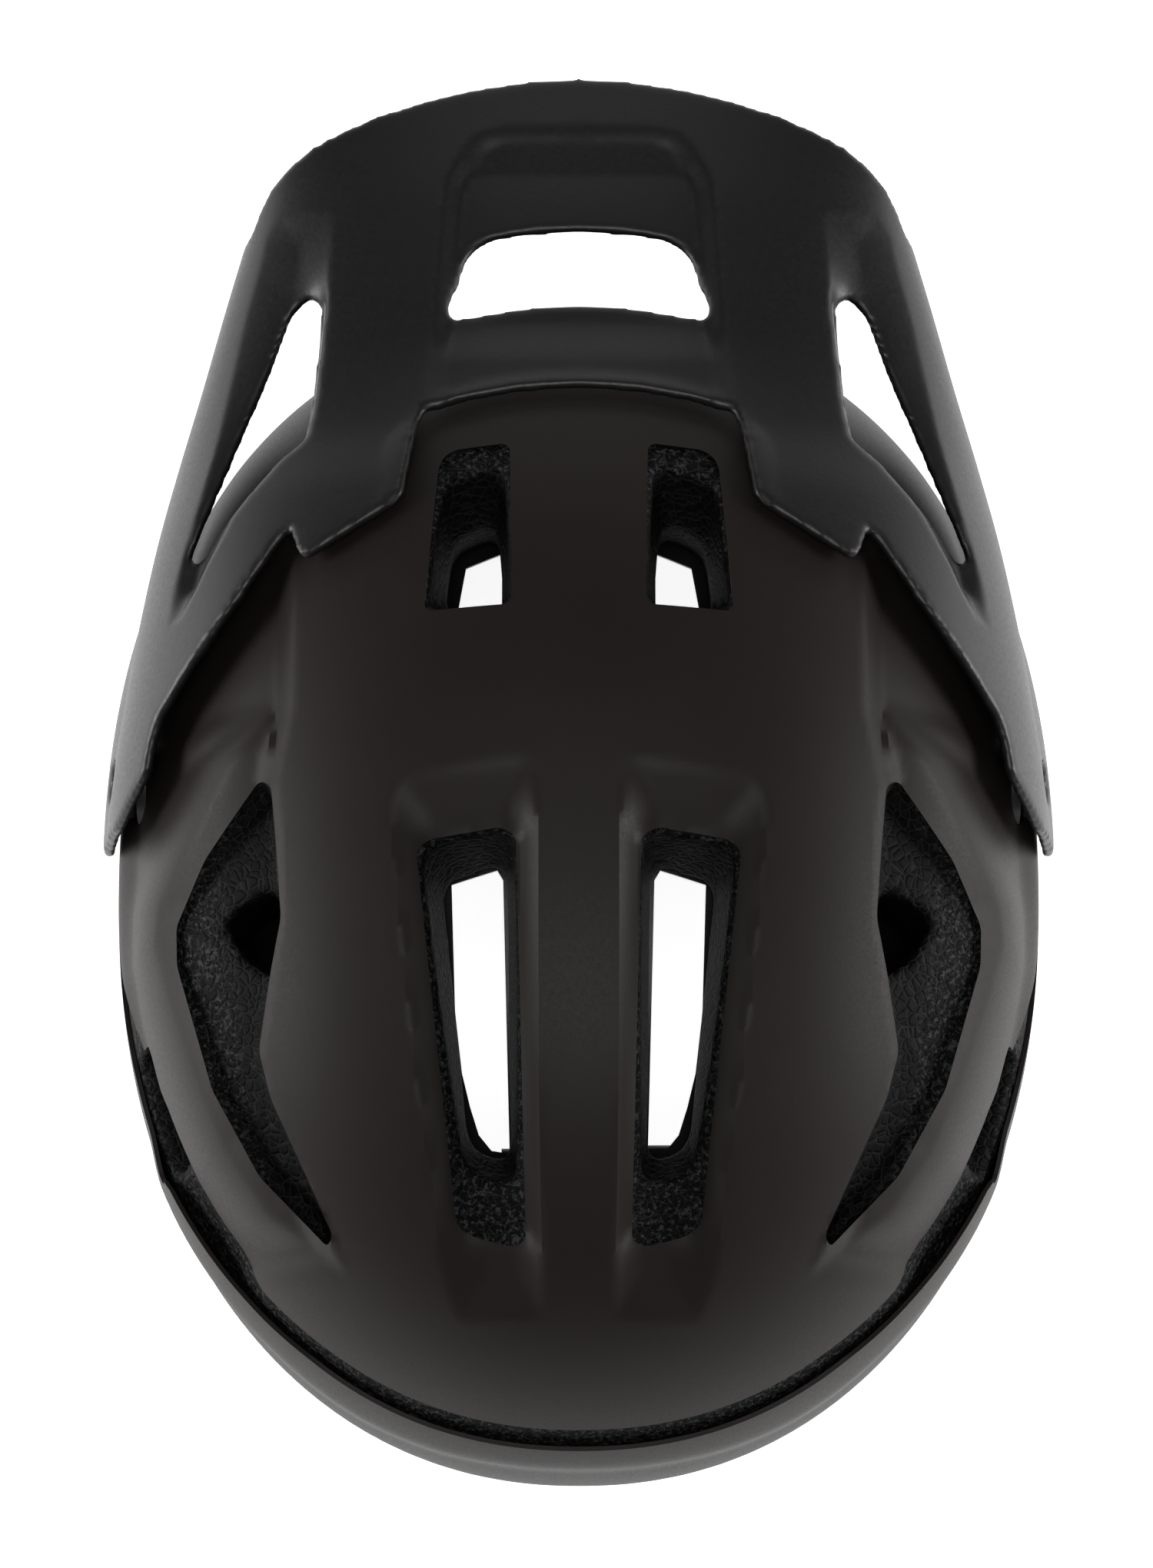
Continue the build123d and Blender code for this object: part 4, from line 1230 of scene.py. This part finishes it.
@dataclass
class Studio:
    """Floor, soft lights, camera and surroundings."""

    distance: float = 1.6
    elevation: float = 78.0
    scale: float = 5.62
    image_height: float = 2040.0
    view_centre: float = 37.1

    def camera(self) -> bpy.types.Object:
        """Camera behind and above the helmet, looking steeply down."""
        tilt = math.radians(self.elevation)
        back = Vector((0, math.cos(tilt), math.sin(tilt)))
        up = Vector((0, -math.sin(tilt), math.cos(tilt)))
        girth = Vector((0, 0, 0.045))
        target = girth + up * (self.view_centre * MM - girth.dot(up))
        data = bpy.data.cameras.new("camera")
        data.sensor_width = 36.0
        data.lens = self.scale * self.distance / MM * data.sensor_width / self.image_height
        data.clip_start, data.clip_end = 0.1, 20
        made = bpy.data.objects.new("camera", data)
        bpy.context.scene.collection.objects.link(made)
        made.location = target + back * self.distance + Vector((0.0005, 0, 0))
        made.rotation_mode = "QUATERNION"
        made.rotation_quaternion = self.aim(back, up)
        bpy.context.scene.camera = made
        return made

    @staticmethod
    def aim(back: Vector, up: Vector) -> Quaternion:
        """Rotation with its Z along back and its Y along up."""
        right = up.cross(back)
        return Matrix((right, up, back)).transposed().to_quaternion()

    def light(self, name: str, place: tuple, size: float, watts: float, aim: tuple = (0, 0, 0.08)) -> None:
        """A square soft light.

        Args:
            name: Its name.
            place: Where it hangs, in metres.
            size: Its side.
            watts: Its power.
            aim: The point that it faces.
        """
        data = bpy.data.lights.new(name, "AREA")
        data.shape, data.size, data.energy = "SQUARE", size, watts
        made = bpy.data.objects.new(name, data)
        bpy.context.scene.collection.objects.link(made)
        made.location = place
        made.rotation_mode = "QUATERNION"
        made.rotation_quaternion = (Vector(place) - Vector(aim)).to_track_quat("Z", "Y")

    def floor(self) -> None:
        """A pale seamless floor just under the rim."""
        bm = bmesh.new()
        bmesh.ops.create_grid(bm, x_segments=2, y_segments=2, size=6.0)
        bmesh.ops.translate(bm, verts=bm.verts, vec=(0, 0, -0.0006))
        floor = as_object(bm, "floor")
        material, tree, shader = Finish("white paper", "fbfbfb", 0.9).start()
        where = add(tree, "ShaderNodeTexCoord").outputs["Object"]
        noise = add(tree, "ShaderNodeTexNoise", {"Scale": 40.0}, {"Vector": where})
        bump = add(tree, "ShaderNodeBump", {"Strength": 0.05, "Distance": 0.0005},
                   {"Height": noise.outputs["Fac"]})
        tree.links.new(bump.outputs["Normal"], shader.inputs["Normal"])
        shader.inputs["Emission Color"].default_value = (1, 1, 1, 1)
        shader.inputs["Emission Strength"].default_value = 0.9
        floor.data.materials.append(material)
        bm = bmesh.new()
        bmesh.ops.create_uvsphere(bm, u_segments=48, v_segments=24, radius=5.8)
        bmesh.ops.reverse_faces(bm, faces=bm.faces)
        backdrop = as_object(bm, "backdrop")
        backdrop.data.materials.append(material)
        for ray in ("diffuse", "glossy", "transmission", "shadow"):
            setattr(backdrop, "visible_" + ray, False)

    def surroundings(self) -> None:
        """An even white world."""
        world = bpy.data.worlds.new("studio")
        bpy.context.scene.world = world
        world.use_nodes = True
        shade = world.node_tree.nodes["Background"]
        shade.inputs["Color"].default_value = (1, 1, 1, 1)
        shade.inputs["Strength"].default_value = 0.13
        bpy.context.scene.view_settings.view_transform = "Standard"

    def build(self) -> None:
        """Sets the studio up."""
        self.camera()
        self.floor()
        self.surroundings()
        self.light("overhead", (0.0, 0.3, 1.9), 0.7, 14)
        self.light("left side", (1.6, 0.0, 0.4), 0.7, 20)
        self.light("right side", (-1.6, 0.0, 0.4), 0.7, 20)
        self.light("front", (0.0, -1.7, 0.8), 0.9, 2.5)


def dress_carried(finishes: Finishes) -> None:
    """Gives every CAD node that is still shown its finish."""
    by_slot = {"foam_black": finishes.foam, "shell_matte": finishes.shell, "visor_matte": finishes.visor,
               "hardware_black": finishes.nylon, "elastomer_grey": finishes.elastomer,
               "slip_sheet": finishes.slip, "pad_fabric": finishes.knit,
               "webbing_black": finishes.webbing, "cradle_nylon": finishes.nylon,
               "knob_rubber": finishes.rubber, "magnet_nickel": finishes.nickel}
    slots = {p["node"]: p["material_slot"] for p in frame["record"]["subparts"]}
    for name, node in frame["nodes"].items():
        if node.hide_render:
            continue
        node.data.materials.clear()
        node.data.materials.append(by_slot[slots[name]])


def main() -> None:
    """Builds the helmet's looks in order and reports each piece."""
    logging.basicConfig(level=logging.INFO, format="%(name)s: %(message)s")
    finishes, form = Finishes(), HelmetForm()
    shell = Shell(form, finishes)
    shell.upper()
    shell.lower()
    shell.foam()
    Visor(form, finishes).peak()
    Padding(finishes).build()
    Harness(finishes).build()
    dress_carried(finishes)
    Studio().build()


if __name__ == "__main__":
    main()
